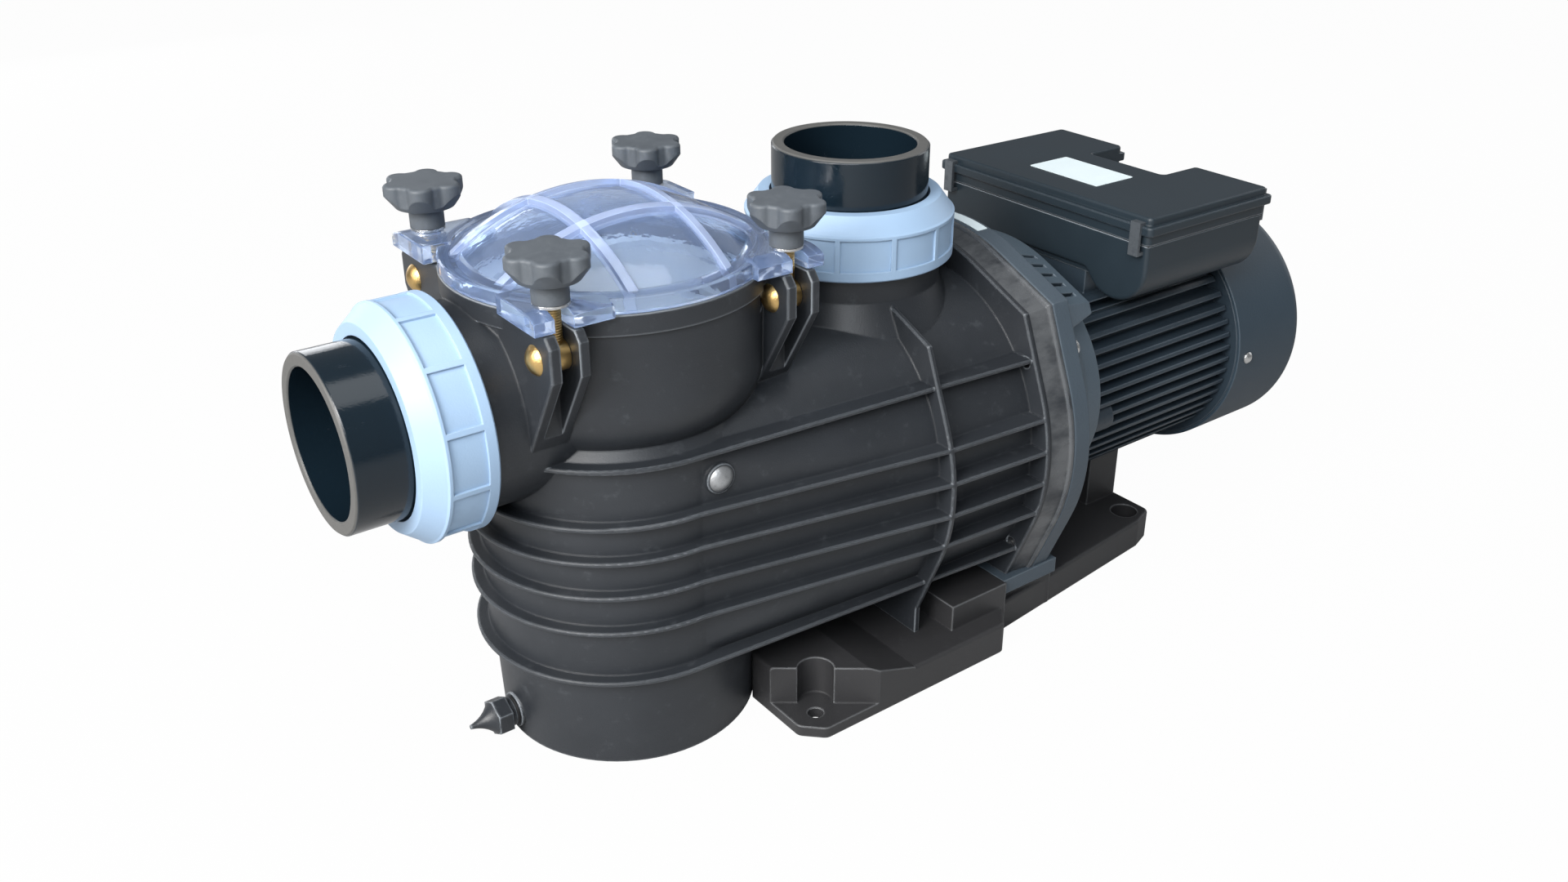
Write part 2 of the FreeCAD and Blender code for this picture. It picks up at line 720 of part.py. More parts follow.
def union(name, at, ring_at, way):
    """Tailpiece, nut and sealing ring of one union, modelled upright on the port's face."""
    front = "(nut_length - port_thread_length + 0.5)"
    rear = "(0.5 - port_thread_length)"
    collar = f"({front} - nut_lip)"
    tail = turned(name + "_tail_turn", [
        ("port_bore", "0.3"), ("tail_collar", "0.3"), ("tail_collar", collar), ("tail_radius", collar),
        ("tail_radius", "tail_length - 1.5"), ("tail_radius - 1.5", "tail_length"),
        ("socket_radius + 1", "tail_length"), ("socket_radius", "tail_length - 1"),
        ("socket_radius", "tail_length - socket_depth"), ("port_bore", "tail_length - socket_depth")],
        "Z", at, way)
    shell = turned(name + "_nut_turn", [
        ("port_thread + 0.4", rear), ("nut_radius - 1", rear), ("nut_radius", f"{rear} + 1"),
        ("nut_radius", f"{front} - nut_chamfer_length - 1"),
        ("nut_chamfer_radius", f"{front} - nut_chamfer_length"), ("nut_front_radius", front),
        ("tail_radius + 1.4", front), ("tail_radius + 1.4", f"{collar} + 0.3"),
        ("port_thread + 0.4", f"{collar} + 0.3")])
    panel = tube(name + "_panel", "nut_radius + 5", "nut_radius - nut_panel_depth",
                 "nut_length - nut_chamfer_length - nut_rim - 3", ("0", "0", f"{rear} + nut_rim"))
    ridges = []
    for step in range(sizes["nut_panels"]):
        ridge = block(name + "_ridge", ("0", "-nut_ridge / 2", f"{rear} + nut_rim - 1"),
                      ("nut_radius + 10", "nut_ridge / 2", front))
        ridges.append(spun(name + "_ridge_turn", ridge, 360 * (step + 0.5) / sizes["nut_panels"]))
    nut = placed(cut(name + "_nut_cut", shell, cut(name + "_panels", panel, *ridges)), at, way)
    keep(tail, name + "_tailpiece")
    keep(nut, name + "_union_nut")
    keep(hoop(name + "_hoop", "union_ring_radius", "union_ring_thick", ring_at, way), name + "_union_seal")


def strainer_lid():
    dome_centre = f"({lid_top} - sqrt(dome_radius^2 - dome_foot^2))"
    inner = "(dome_radius - lid_wall)"
    foot = "(dome_foot - lid_wall)"
    shell = turned("lid_shell", [
        ("0", f"{dome_centre} + {inner}", f"-{inner}"), ("0", f"{dome_centre} + dome_radius"),
        ("dome_foot", lid_top, "dome_radius"), ("lid_radius - 1", lid_top), ("lid_radius", f"{lid_top} - 1"),
        ("lid_radius", lid_base), ("rim_bore - 0.4", lid_base), ("rim_bore - 0.4", f"{lid_base} - lid_spigot"),
        ("rim_bore - 0.4 - lid_wall", f"{lid_base} - lid_spigot"),
        (foot, f"{dome_centre} + sqrt({inner}^2 - {foot}^2)")])
    ears, slots = [], []
    for name, (side, way) in corners.items():
        fall = f"pin_height + sqrt({roll}^2 - (ear_reach - bolt_spread)^2)"
        bend = f"-{roll}" if way > 0 else roll
        profile = [(f"{way} * ({y})", *rest) for y, *rest in (
            ("ear_inner", lid_base), ("ear_reach", lid_base), ("ear_reach", fall),
            ("bolt_spread", ear_top, bend), ("ear_inner", ear_top))]
        start = "ear_inner" if side > 0 else "-ear_outer"
        ears.append(softened(f"ear_{name}_soft", slab("ear_" + name, "YZ", profile, "ear_outer - ear_inner",
                                                      (start, "0", "0")), "edge_round",
                             lambda edge, box: box.XLength < 0.01 and box.ZMax > number(lid_top)))
        near, far = f"{way} * (bolt_spread - {slot_half})", f"{way} * (ear_reach + 5)"
        low, high = (near, far) if way > 0 else (far, near)
        slots.append(block("ear_slot_" + name, (f"{side} * bolt_spread - {slot_half}", low, f"{lid_base} - 5"),
                           (f"{side} * bolt_spread + {slot_half}", high, f"{ear_top} + 5")))
    ear_ring = cut("ear_ring", joined("ears", *ears), rod("ear_core", "lid_radius - 8", "400"))
    bars = []
    for way in (-1, 1):
        low, high = f"{way} * lid_rib_place - lid_rib_width / 2", f"{way} * lid_rib_place + lid_rib_width / 2"
        bars.append(block("lid_bar_x", ("-lid_radius", low, f"{lid_top} - 2"), ("lid_radius", high, "400")))
        bars.append(block("lid_bar_y", (low, "-lid_radius", f"{lid_top} - 2"), (high, "lid_radius", "400")))
    ribs = shared("lid_ribs", joined("lid_bars", *bars),
                  ball("lid_rib_ball", "lid_rib_radius",
                       ("0", "0", f"{lid_top} - sqrt(lid_rib_radius^2 - lid_rib_foot^2)")))
    hollow = ball("lid_hollow", f"{inner} + lid_wall / 2", ("0", "0", dome_centre))
    body = joined("lid_body", shell, cut("lid_rib_shell", ribs, hollow), cut("lid_ears", ear_ring, *slots))
    keep(body, "strainer_lid")
    keep(hoop("lid_seal_hoop", "(rim_bore + rim_radius) / 2", "seal_thick",
              ("0", "0", f"{rim_top} - seal_groove + seal_thick + 0.02")), "lid_seal")


def strainer_basket():
    cup = turned("basket_cup", [
        ("0", "basket_base"), ("basket_base_radius", "basket_base"), ("basket_radius", "basket_ledge"),
        ("rim_bore - 0.6", "basket_ledge"), ("rim_bore - 0.6", "basket_ledge + basket_wall"),
        ("basket_radius - basket_wall", "basket_ledge + basket_wall"),
        ("basket_base_radius - basket_wall", "basket_base + basket_wall"), ("0", "basket_base + basket_wall")])
    slots = []
    for low, high in (("basket_base + 12", "basket_base + 66"), ("basket_base + 74", "basket_base + 128")):
        for step in range(sizes["basket_slots"] // 2):
            bar = block("basket_slot", ("-basket_radius - 9", "-basket_slot_width / 2", low),
                        ("basket_radius + 9", "basket_slot_width / 2", high))
            slots.append(spun("basket_slot_turn", bar, 360 * (step + 0.5) / sizes["basket_slots"]))
    holes = []
    for step in range(6):
        holes.append(rod("basket_hole", "8", "basket_wall + 10",
                         (f"38 * cos({60 * step})", f"38 * sin({60 * step})", "basket_base - 5")))
    inlet = rod("basket_inlet", "port_bore + 1", "basket_radius + 10", ("-20", "0", "suction_height"), "-X")
    keep(cut("basket_cut", cup, *slots, *holes, inlet), "strainer_basket")
    radius = "((handle_reach^2 + handle_rise^2) / (2 * handle_rise))"
    foot = "(basket_ledge + basket_wall)"
    arch = tube("handle_arch", radius, f"{radius} - handle_thick", "handle_width",
                ("0", "-handle_width / 2", f"{foot} + handle_rise - {radius}"), "+Y")
    over = block("handle_over", ("-handle_reach - 20", "-handle_width", foot),
                 ("handle_reach + 20", "handle_width", "400"))
    keep(shared("handle", arch, over), "basket_handle")


def lid_clamp(name, side, way):
    """Swing bolt, washer and knob of one corner."""
    place = (f"{side} * bolt_spread", f"{way} * bolt_spread")
    eye = rod(name + "_eye", "eye_radius", f"2 * {slot_half} - 0.6",
              (f"{place[0]} - {slot_half} + 0.3", place[1], "pin_height"), "+X")
    stud = rod(name + "_stud", "stud_radius", "stud_top - pin_height - pin_radius",
               place + ("pin_height + pin_radius",))
    hole = rod(name + "_eye_hole", "pin_radius + 0.05", f"2 * {slot_half}",
               (f"{place[0]} - {slot_half}", place[1], "pin_height"), "+X")
    keep(cut(name + "_bolt", joined(name + "_bolt_solid", eye, stud), hole), "swing_bolt_" + name)
    base = f"({ear_top} + 0.3)"
    keep(tube(name + "_washer", "washer_radius", "stud_radius + 0.3", "washer_thick", place + (base,)),
         "knob_washer_" + name)
    foot = f"({base} + washer_thick + 0.2)"
    stem = rod(name + "_stem", "knob_stem_radius", "knob_stem_length + 2", place + (foot,))
    lobe_place = "(knob_reach - knob_lobe_radius)"
    core = rod(name + "_core", "knob_core_radius", "knob_head_height", place + (f"{foot} + knob_stem_length",))
    lobes = []
    for step in range(sizes["knob_lobes"]):
        turn = 360 * step / sizes["knob_lobes"]
        lobes.append(rod(name + "_lobe", "knob_lobe_radius", "knob_head_height",
                         (f"{place[0]} + {lobe_place} * cos({turn})", f"{place[1]} + {lobe_place} * sin({turn})",
                          f"{foot} + knob_stem_length")))
    star = softened(name + "_star", joined(name + "_star_solid", core, *lobes), "knob_scallop", upright)
    head = softened(name + "_head", star, "knob_round", flat_in_z)
    low, high = f"{foot} + knob_stem_length", f"{foot} + knob_stem_length + knob_head_height"
    taper = turned(name + "_taper", [
        ("0", low), ("knob_reach - knob_taper", low), ("knob_reach + 1", f"{high} - knob_head_height / 3"),
        ("knob_reach + 1", high), ("0", high)], "Z", place + ("0",))
    head = shared(name + "_tapered", head, taper)
    bore = rod(name + "_knob_bore", "stud_radius + 0.06", f"stud_top - {foot} + 3", place + (f"{foot} - 1",))
    keep(cut(name + "_knob", joined(name + "_knob_solid", stem, head), bore), "lid_knob_" + name)


def pivot_pins():
    pins = []
    for name, (side, way) in corners.items():
        half = f"({slot_half} + clevis_plate)"
        centre, across = f"{side} * bolt_spread", f"{way} * bolt_spread"
        shank = rod("pin_shank", "pin_radius", f"2 * {half}",
                    (f"{centre} - {half}", across, "pin_height"), "+X")
        dome = "((pin_head_radius^2 + pin_head_height^2) / (2 * pin_head_height))"
        heads = []
        for end in (-1, 1):
            face = f"({centre} + {end} * {half})"
            middle = f"{face} + {end} * (pin_head_height - {dome})"
            sphere = ball("pin_dome", dome, (middle, across, "pin_height"))
            keeper = rod("pin_keeper", "pin_head_radius + 1", "pin_head_height + 1",
                         (face, across, "pin_height"), "+X" if end > 0 else "-X")
            heads.append(shared("pin_head", sphere, keeper))
        pins.append(joined("pin_" + name, shank, *heads))
    keep(group("pins", pins), "pivot_pins")


def drain_and_side_screw():
    mouth = "-drain_boss_end"
    seal_end = f"({mouth} - 2)"
    keep(tube("drain_ring", "plug_collar_radius - 0.5", "drain_thread + 0.3", "1.6",
              (f"{mouth} - 0.2", "0", "drain_height"), "-X"), "drain_seal")
    shank = rod("plug_shank", "drain_thread - 0.1", "18", (f"{mouth} + 14", "0", "drain_height"), "-X")
    collar = rod("plug_collar_disc", "plug_collar_radius", "plug_collar", (seal_end, "0", "drain_height"), "-X")
    far = f"{seal_end} - plug_collar"
    grip = slab("plug_grip", "YZ", [
        (f"plug_grip_radius * cos({60 * step + 30})", f"drain_height + plug_grip_radius * sin({60 * step + 30})")
        for step in range(6)], "plug_grip_length + 1", (f"{far} - plug_grip_length", "0", "0"))
    nose = placed(turned("plug_nose", [
        ("0", "0"), ("plug_grip_radius * cos(30)", "0"),
        ("plug_tip_radius", "plug_nose_length", "plug_nose_hollow"), ("0", "plug_nose_length")]),
        (f"{far} - plug_grip_length", "0", "drain_height"), "-X")
    keep(joined("plug", shank, collar, grip, nose), "drain_plug")
    sphere_radius = "(side_screw_head * 1.3)"
    head = shared("side_head",
                  ball("side_ball", sphere_radius,
                       ("side_screw_place", f"{side_face} - 2 + sqrt({sphere_radius}^2 - side_screw_head^2)",
                        "side_screw_height")),
                  rod("side_keeper", "side_screw_head", "20",
                      ("side_screw_place", f"{side_face} - 2", "side_screw_height"), "-Y"))
    shank = rod("side_shank", "side_screw_shank", "9.5",
                ("side_screw_place", f"{side_face} + 7.5", "side_screw_height"), "-Y")
    keep(joined("side", head, shank), "side_screw")


def pump_foot():
    plan = [
        ("foot_front", "-foot_half + foot_corner"), ("foot_front + foot_corner", "-foot_half"),
        ("foot_wide_end", "-foot_half"), ("saddle_rear", "-foot_waist_half"),
        ("foot_rear - foot_tail", "-foot_rear_half"), ("foot_rear", "-foot_rear_half + foot_tail_corner"),
        ("foot_rear", "foot_rear_half - foot_tail_corner"), ("foot_rear - foot_tail", "foot_rear_half"),
        ("saddle_rear", "foot_waist_half"),
        ("foot_wide_end", "foot_half"), ("foot_front + foot_corner", "foot_half"),
        ("foot_front", "foot_half - foot_corner")]
    plate = softened("foot_plate_corners", slab("foot_plate_pad", "XY", plan, "foot_plate"),
                     "foot_corner_round", upright)
    plate = softened("foot_plate_soft", plate, "foot_round",
                     lambda edge, box: box.ZLength < 0.01 and box.ZMin > sizes["foot_plate"] / 2)
    deck = slab("foot_deck_pad", "XZ", [
        ("foot_front", "0"), ("foot_deck_foot", "0"), ("foot_deck_foot", "foot_plate"),
        ("foot_deck_end", "foot_deck"), ("foot_front", "foot_deck")],
        "2 * foot_half", ("0", "foot_half", "0"))
    deck = softened("foot_deck_soft", deck, "foot_round", lambda edge, box: box.ZMin > sizes["foot_deck"] - 1)
    deck = shared("foot_deck_trim", deck, softened(
        "foot_deck_plan", slab("foot_deck_plan_pad", "XY", plan, "foot_deck"), "foot_corner_round", upright))
    saddle = block("saddle", ("saddle_front", "-saddle_half", "0"),
                   ("saddle_rear", "saddle_half", "body_underside"))
    pad = block("lug_pad", ("saddle_rear - 1", "-foot_waist_half + 6", "0"),
                ("lug_rear + 2", "foot_waist_half - 6", "body_underside - lug_thick"))
    post = block("motor_post", ("post_front", "-post_half", "0"), ("post_rear", "post_half", "axis_height"))
    cradle = shaft_rod("cradle", "fin_radius + 0.3", "post_front - 5", "post_rear + 5")
    notch = rod("pot_notch", "pot_base_radius + 1.5", "200", ("0", "0", "-20"))
    pockets = []
    for way in (-1, 1):
        hole = f"{way} * front_hole_spread / 2"
        pockets.append(rod("front_hole", "bolt_hole_radius", "60", ("front_hole_place", hole, "-10")))
        pockets.append(rod("front_bolt_face", "groove_radius", "60",
                           ("front_hole_place", hole, "shelf_height")))
        inner = ("front_hole_place + groove_reach * cos(groove_turn)",
                 f"{hole} - {way} * groove_reach * sin(groove_turn)", "shelf_height")
        pockets.append(rod("front_groove", "groove_radius", "60", inner))
        corner = [("foot_front - 5", "foot_half - 50"), ("foot_deck_end + 8", "foot_half + 2"),
                  ("foot_front - 5", "foot_half + 2")]
        pockets.append(slab("front_shelf", "XY", [(x, f"{way} * ({y})") for x, y in corner], "60",
                            ("0", "0", "shelf_height")))
        hole = f"{way} * rear_hole_spread / 2"
        pockets.append(rod("rear_hole", "bolt_hole_radius", "60", ("rear_hole_place", hole, "-10")))
        pockets.append(rod("rear_face", "11", "60", ("rear_hole_place", hole, "shelf_height")))
    for x, y in foot_screw_places():
        pockets.append(rod("foot_screw_hole", "screw_radius + 0.4", "80", (x, y, "-10")))
        pockets.append(rod("foot_screw_head_hole", "screw_head_radius + 1", "10 + screw_head_height + 2",
                           (x, y, "-10")))
    body = joined("foot_body", plate, deck, saddle, pad, cut("post_cut", post, cradle))
    cells = []
    for column in range(6):
        left = f"foot_wide_end + 18 + {column} * foot_cell"
        for row in range(-2, 2):
            side = f"{row} * foot_cell + foot_rib / 2"
            cells.append(block("foot_cell_space", (f"{left}", side, "-5"),
                               (f"{left} + foot_cell - foot_rib", f"{side} + foot_cell - foot_rib",
                                "foot_plate - foot_skin")))
    room = cut("foot_room", joined("foot_cells", *cells), *[
        rod("foot_keep", "screw_head_radius + 5", "60", (x, y, "-10")) for x, y in foot_screw_places()])
    keep(cut("foot_cut", body, notch, room, *pockets), "pump_foot")
    screws = []
    for index, (x, y) in enumerate(foot_screw_places()):
        length = "body_underside + 14" if index < 4 else "body_underside - lug_thick + 22"
        shank = rod("foot_screw_shank", "screw_radius", f"{length} - screw_head_height - 2",
                    (x, y, "screw_head_height + 2"))
        head = rod("foot_screw_head", "screw_head_radius", "screw_head_height", (x, y, "2"))
        socket = rod("foot_screw_socket", "3.2", "6", (x, y, "-1"))
        screws.append(cut("foot_screw", joined("foot_screw_solid", shank, head), socket))
    keep(group("foot_screw_group", screws), "foot_screws")


def wet_end():
    plate_front = "(body_rear - seal_plate_thick)"
    tube_front = f"({plate_front} - 8)"
    keep(shaft_turned("seal_plate_turn", [
        (tube_front, "seal_seat_radius + 5"), (tube_front, "seal_seat_radius + 9"),
        (plate_front, "seal_seat_radius + 14"), (plate_front, "chamber_radius - 0.4"),
        (f"{plate_front} + 4", "chamber_radius - 0.4"), (f"{plate_front} + 4", "chamber_radius - 4"),
        (f"{plate_front} + 8.4", "chamber_radius - 4"), (f"{plate_front} + 8.4", "chamber_radius - 0.4"),
        ("body_rear", "chamber_radius - 0.4"), ("body_rear", "shaft_radius + 2"),
        (f"{plate_front} + 8", "shaft_radius + 2"), (f"{plate_front} + 8", "seal_seat_radius + 0.1"),
        (f"{plate_front} + 0.5", "seal_seat_radius + 0.1"), (f"{plate_front} + 0.5", "seal_seat_radius + 5")]),
        "seal_plate")
    keep(hoop("body_hoop", "chamber_radius - 2.05", "1.9", (f"{plate_front} + 6.2", "0", "axis_height"), "+X"),
         "body_seal")
    seat_front = f"({plate_front} + 0.5)"
    keep(shaft_turned("seat_turn", [
        (seat_front, "seal_seat_bore"), (seat_front, "seal_seat_radius"),
        (f"{plate_front} + 8", "seal_seat_radius"), (f"{plate_front} + 8", "seal_seat_bore")]),
        "shaft_seal_seat")
    keep(shaft_turned("head_turn", [
        ("impeller_rear", "shaft_tip_radius + 0.03"), ("impeller_rear", "seal_seat_radius - 4"),
        (f"{seat_front} - 3", "seal_seat_radius - 4"), (f"{seat_front} - 3", "seal_seat_radius - 1.5"),
        (f"{seat_front} - 0.3", "seal_seat_radius - 1.5"), (f"{seat_front} - 0.3", "shaft_tip_radius + 0.03")]),
        "shaft_seal_head")

    eye = "impeller_eye"
    shrouds = shaft_turned("impeller_shrouds", [
        ("impeller_front - 9", eye), ("impeller_front - 9", f"{eye} + 3.5"), ("impeller_front", f"{eye} + 3.5"),
        ("impeller_front + 10", "impeller_radius"), ("impeller_front + 13.5", "impeller_radius"),
        ("impeller_front + 3.5", eye)])
    hub = shaft_turned("impeller_hub", [
        ("impeller_front + 8", "0"), ("impeller_front + 9", "6"), ("impeller_rear - 26", "15"),
        ("impeller_rear - 18", "impeller_radius"), ("impeller_rear - 14", "impeller_radius"),
        ("impeller_rear - 12", "20"), ("impeller_rear - 0.3", "15.5"), ("impeller_rear - 0.3", "0")])
    vanes = []
    for step in range(sizes["impeller_vanes"]):
        vane = tube("vane_curve", "52", "49", "impeller_rear - 16 - (impeller_front + 2)",
                    ("impeller_front + 2", "36", "-38"), "+X")
        vanes.append(spun("vane_turn", vane, 360 * step / sizes["impeller_vanes"], axis=(1, 0, 0)))
    zone = turned("vane_zone", [
        ("impeller_front + 1", "14"), ("impeller_front + 1", "30"),
        ("impeller_front + 11", "impeller_radius - 1"),
        ("impeller_rear - 16", "impeller_radius - 1"), ("impeller_rear - 24", "14")], "X")
    blades = placed(shared("impeller_blades", joined("vane_set", *vanes), zone), ("0", "0", "axis_height"))
    shaft_bore = shaft_rod("impeller_bore", "shaft_tip_radius + 0.03",
                           "impeller_rear - 24", "impeller_rear + 1")
    keep(cut("impeller_cut", joined("impeller_solid", shrouds, hub, blades), shaft_bore), "impeller")

    face = "diffuser_front"
    ring = shaft_turned("diffuser_ring", [
        (f"{face} - 12", "duct_bore + duct_wall + 0.4"), (f"{face} - 12", "duct_bore + duct_wall + 4"),
        (face, "duct_bore + duct_wall + 4"), (face, "diffuser_radius"), (f"{face} + 4", "diffuser_radius"),
        (f"{face} + 4", f"{eye} + 4.5"), (f"{face} - 4", f"{eye} + 4.5"),
        (f"{face} - 4", "duct_bore + duct_wall + 0.4")])
    fins = []
    for step in range(sizes["diffuser_vanes"]):
        fin = block("diffuser_fin", (f"{face} + 3", "impeller_radius + 4", "-2"),
                    (f"{plate_front} - 0.1", "diffuser_radius - 1", "2"))
        fins.append(spun("diffuser_fin_turn", fin, 360 * step / sizes["diffuser_vanes"],
                         ("0", "0", "axis_height"), (1, 0, 0)))
    keep(joined("diffuser_solid", ring, *fins), "diffuser")


def motor():
    plate = slab("flange_pad", "YZ", horned("flange_radius"), "flange_plate", ("body_rear", "0", "0"))
    plate = softened("flange_soft", plate, "edge_round", flat_in_x)
    low = block("flange_low", ("body_rear - 40", "-foot_half - 40", "-40"),
                ("lug_rear + 40", "foot_half + 40", "body_underside - lug_thick"))
    lug = block("flange_lug", ("saddle_rear", "-foot_waist_half", "body_underside - lug_thick"),
                ("lug_rear", "foot_waist_half", "body_underside"))
    holes = [rod("flange_hole", "screw_radius + 0.4", "flange_plate + 4",
                 flange_bolt_place(step, "body_rear - 2"), "+X") for step in range(4)]
    holes += [rod("lug_hole", "screw_radius + 0.05", "24", (x, y, "body_underside - lug_thick - 1"))
              for x, y in foot_screw_places()[4:]]
    centre = shaft_rod("flange_centre", "60", "body_rear - 5", "body_rear + flange_plate + 5")
    keep(cut("flange_cut", joined("flange_solid", cut("flange_level", plate, low), lug), centre, *holes),
         "motor_flange")
    bolts = []
    for step in range(4):
        x, y, z = flange_bolt_place(step, "body_rear - 20")
        shank = rod("flange_shank", "screw_radius", "20 + flange_plate", (x, y, z), "+X")
        head = rod("flange_head", "screw_head_radius", "screw_head_height",
                   ("body_rear + flange_plate", y, z), "+X")
        bolts.append(joined("flange_bolt", shank, head))
    keep(group("flange_bolt_group", bolts), "flange_bolts")

    face = "(body_rear + flange_plate)"
    hub_front, hub_rear = f"({face} + hub_inset)", f"({face} + hub_inset + bearing_width)"
    outer = shaft_turned("front_outer", [
        (face, "0"), (face, "shield_radius"), (f"{face} + hub_inset", "shield_radius"),
        ("frame_front - 16", "frame_core + 16"), ("frame_front", "frame_core + 14"),
        ("frame_front", "frame_bore - 0.3"), ("frame_front + 6", "frame_bore - 0.3"), ("frame_front + 6", "0")])
    inner = shaft_turned("front_inner", [
        (f"{face} + 7", "bearing_radius + 7"), (f"{face} + 7", "shield_radius - shield_wall"),
        (f"{face} + 12", "shield_radius - shield_wall"), ("frame_front - 16", "frame_core + 10"),
        ("frame_front - 14", "frame_bore - shield_wall"), ("frame_front + 10", "frame_bore - shield_wall"),
        ("frame_front + 10", "0"), (hub_rear, "0"), (hub_rear, "bearing_radius + 7")])
    hub = shaft_turned("front_hub_bore", [
        (f"{face} - 1", "0"), (f"{face} - 1", "shaft_radius + 2"), (hub_front, "shaft_radius + 2"),
        (hub_front, "bearing_radius + 0.03"), (f"{hub_rear} + 5", "bearing_radius + 0.03"),
        (f"{hub_rear} + 5", "0")])
    hood_foot = "(axis_height + hood_rise)"
    hood = lofted("hood", horned("hood_radius"), horned("hood_rear_radius"), f"hood_rear - {face}",
                  (face, "0", "0"))
    hood_room = lofted("hood_room", horned("hood_radius - shield_wall"),
                       horned("hood_rear_radius - shield_wall"), f"hood_rear - {face} - 2 * shield_wall",
                       (f"{face} + shield_wall", "0", "0"))
    hoods = []
    for shape, foot in ((hood, hood_foot), (hood_room, f"{hood_foot} + shield_wall")):
        below = block("hood_below", (f"{face} - 5", "-flange_radius - 20", "-40"),
                      ("hood_rear + 5", "flange_radius + 20", foot))
        hoods.append(cut("hood_top", shape, below))
    under = [block("front_under", (f"{face} - 1", "-foot_half - 10", "-40"),
                   ("frame_front - 14", "foot_half + 10", level))
             for level in ("body_underside + 0.3", "body_underside + 0.3 + shield_wall")]
    skin = cut("front_level", joined("front_skin", outer, hoods[0]), under[0])
    room = cut("front_room", joined("front_space", inner, hoods[1]), under[1])
    shell = cut("front_shell", skin, room, hub)
    louvres = []
    for angle in (21, 26, 31, 36, 41):
        for turn in (angle, -angle):
            slot = block("louvre", (f"{face} + louvre_inset", "-louvre_width / 2", "frame_core + 20"),
                         ("hood_rear - louvre_inset", "louvre_width / 2", "hood_radius + 30"))
            louvres.append(spun("louvre_turn", slot, turn, ("0", "0", "axis_height"), (1, 0, 0)))
    rods = [rod("front_rod_hole", "tie_rod_radius + 0.05", "20", tie_rod_place(step, "frame_front - 12"), "+X")
            for step in range(4)]
    keep(cut("front_cut", shell, *louvres, *rods), "front_end_shield")

    core = shaft_rod("frame_tube", "frame_core", "frame_front", "frame_rear")
    fins = []
    for step in range(-sizes["fin_count"], sizes["fin_count"] + 1):
        level = f"axis_height + {step} * fin_pitch"
        fins.append(block("side_fin", ("frame_front + 2", "-fin_radius - 5", f"{level} - fin_thick / 2"),
                          ("frame_rear - 2", "fin_radius + 5", f"{level} + fin_thick / 2")))
        if abs(step) < sizes["fin_count"] - 1:
            fins.append(block("low_fin", ("frame_front + 2", f"{step} * fin_pitch - fin_thick / 2",
                                          "axis_height - fin_radius - 5"),
                              ("frame_rear - 2", f"{step} * fin_pitch + fin_thick / 2", "axis_height")))
    finned = shared("fins", joined("fin_set", *fins),
                    shaft_rod("fin_limit", "fin_radius", "frame_front", "frame_rear"))
    pad = block("box_pad", ("box_front + 4", "-pad_half", "axis_height"),
                ("notch_front - 4", "pad_half", "pad_height"))
    boss = shaft_rod("frame_boss", "13", "frame_front + 1", "frame_front + 20")
    placed(boss, ("frame_front + 1", "-frame_core + 1", "axis_height - 14"), "+X")
    bore = shaft_rod("frame_inside", "frame_bore", "frame_front - 5", "frame_rear + 5")
    rods = [rod("frame_rod_hole", "tie_rod_radius + 0.5", "frame_rear - frame_front + 20",
                tie_rod_place(step, "frame_front - 10"), "+X") for step in range(4)]
    wires = rod("wire_hole", "12", "60", ("box_front + 30", "0", "pad_height - 30"))
    keep(cut("frame_cut", joined("frame_solid", core, finned, pad, boss), bore, *rods, wires), "motor_frame")

    rear_web = "frame_rear"
    hub_start = "(frame_rear - bearing_width + 2)"
    shell = shaft_turned("rear_shell", [
        (f"{rear_web} + 6", "shaft_radius + 1"), (f"{rear_web} + 6", "bearing_radius + 12"),
        (f"{rear_web} + 6", "rear_shield_radius - 6"), (f"{rear_web} + 18", "rear_shield_radius - 6"),
        (f"{rear_web} + 18", "rear_shield_radius"), (rear_web, "rear_shield_radius"),
        (rear_web, "frame_bore - 0.3"), (f"{rear_web} - 6", "frame_bore - 0.3"),
        (f"{rear_web} - 6", "frame_bore - shield_wall"), (rear_web, "frame_bore - shield_wall"),
        (rear_web, "bearing_radius + 7"), (f"{hub_start}", "bearing_radius + 7"),
        (f"{hub_start}", "bearing_radius + 0.03"), (f"{rear_web} + 2", "bearing_radius + 0.03"),
        (f"{rear_web} + 2", "shaft_radius + 1")])
    rods = [rod("rear_rod_hole", "tie_rod_radius + 0.5", "30", tie_rod_place(step, "frame_rear - 5"), "+X")
            for step in range(4)]
    screws, screw_holes = [], []
    for step in range(4):
        turn = 90 * step
        shank = rod("cowl_shank", "2", "8", ("frame_rear + 12", "0", "rear_shield_radius - 5"))
        dome = shared("cowl_dome", ball("cowl_ball", "6", ("frame_rear + 12", "0", "cowl_radius - 2.6")),
                      rod("cowl_keeper", "5", "5", ("frame_rear + 12", "0", "cowl_radius")))
        screws.append(spun("cowl_screw", joined("cowl_screw_solid", shank, dome), turn,
                           ("0", "0", "axis_height"), (1, 0, 0)))
        hole = rod("cowl_screw_hole", "2.05", "40", ("frame_rear + 12", "0", "rear_shield_radius - 5.3"))
        screw_holes.append(spun("cowl_screw_hole_turn", hole, turn, ("0", "0", "axis_height"), (1, 0, 0)))
    keep(cut("rear_cut", shell, *rods, *screw_holes), "rear_end_shield")
    keep(group("cowl_screw_group", screws), "cowl_screws")

    tie_rods = []
    for step in range(4):
        x, y, z = tie_rod_place(step, "frame_front - 11")
        shank = rod("tie_shank", "tie_rod_radius", "frame_rear - frame_front + 11 + 6", (x, y, z), "+X")
        head = rod("tie_head", "4.5", "4", ("frame_rear + 6", y, z), "+X")
        tie_rods.append(joined("tie_rod", shank, head))
    keep(group("tie_rod_group", tie_rods), "tie_rods")

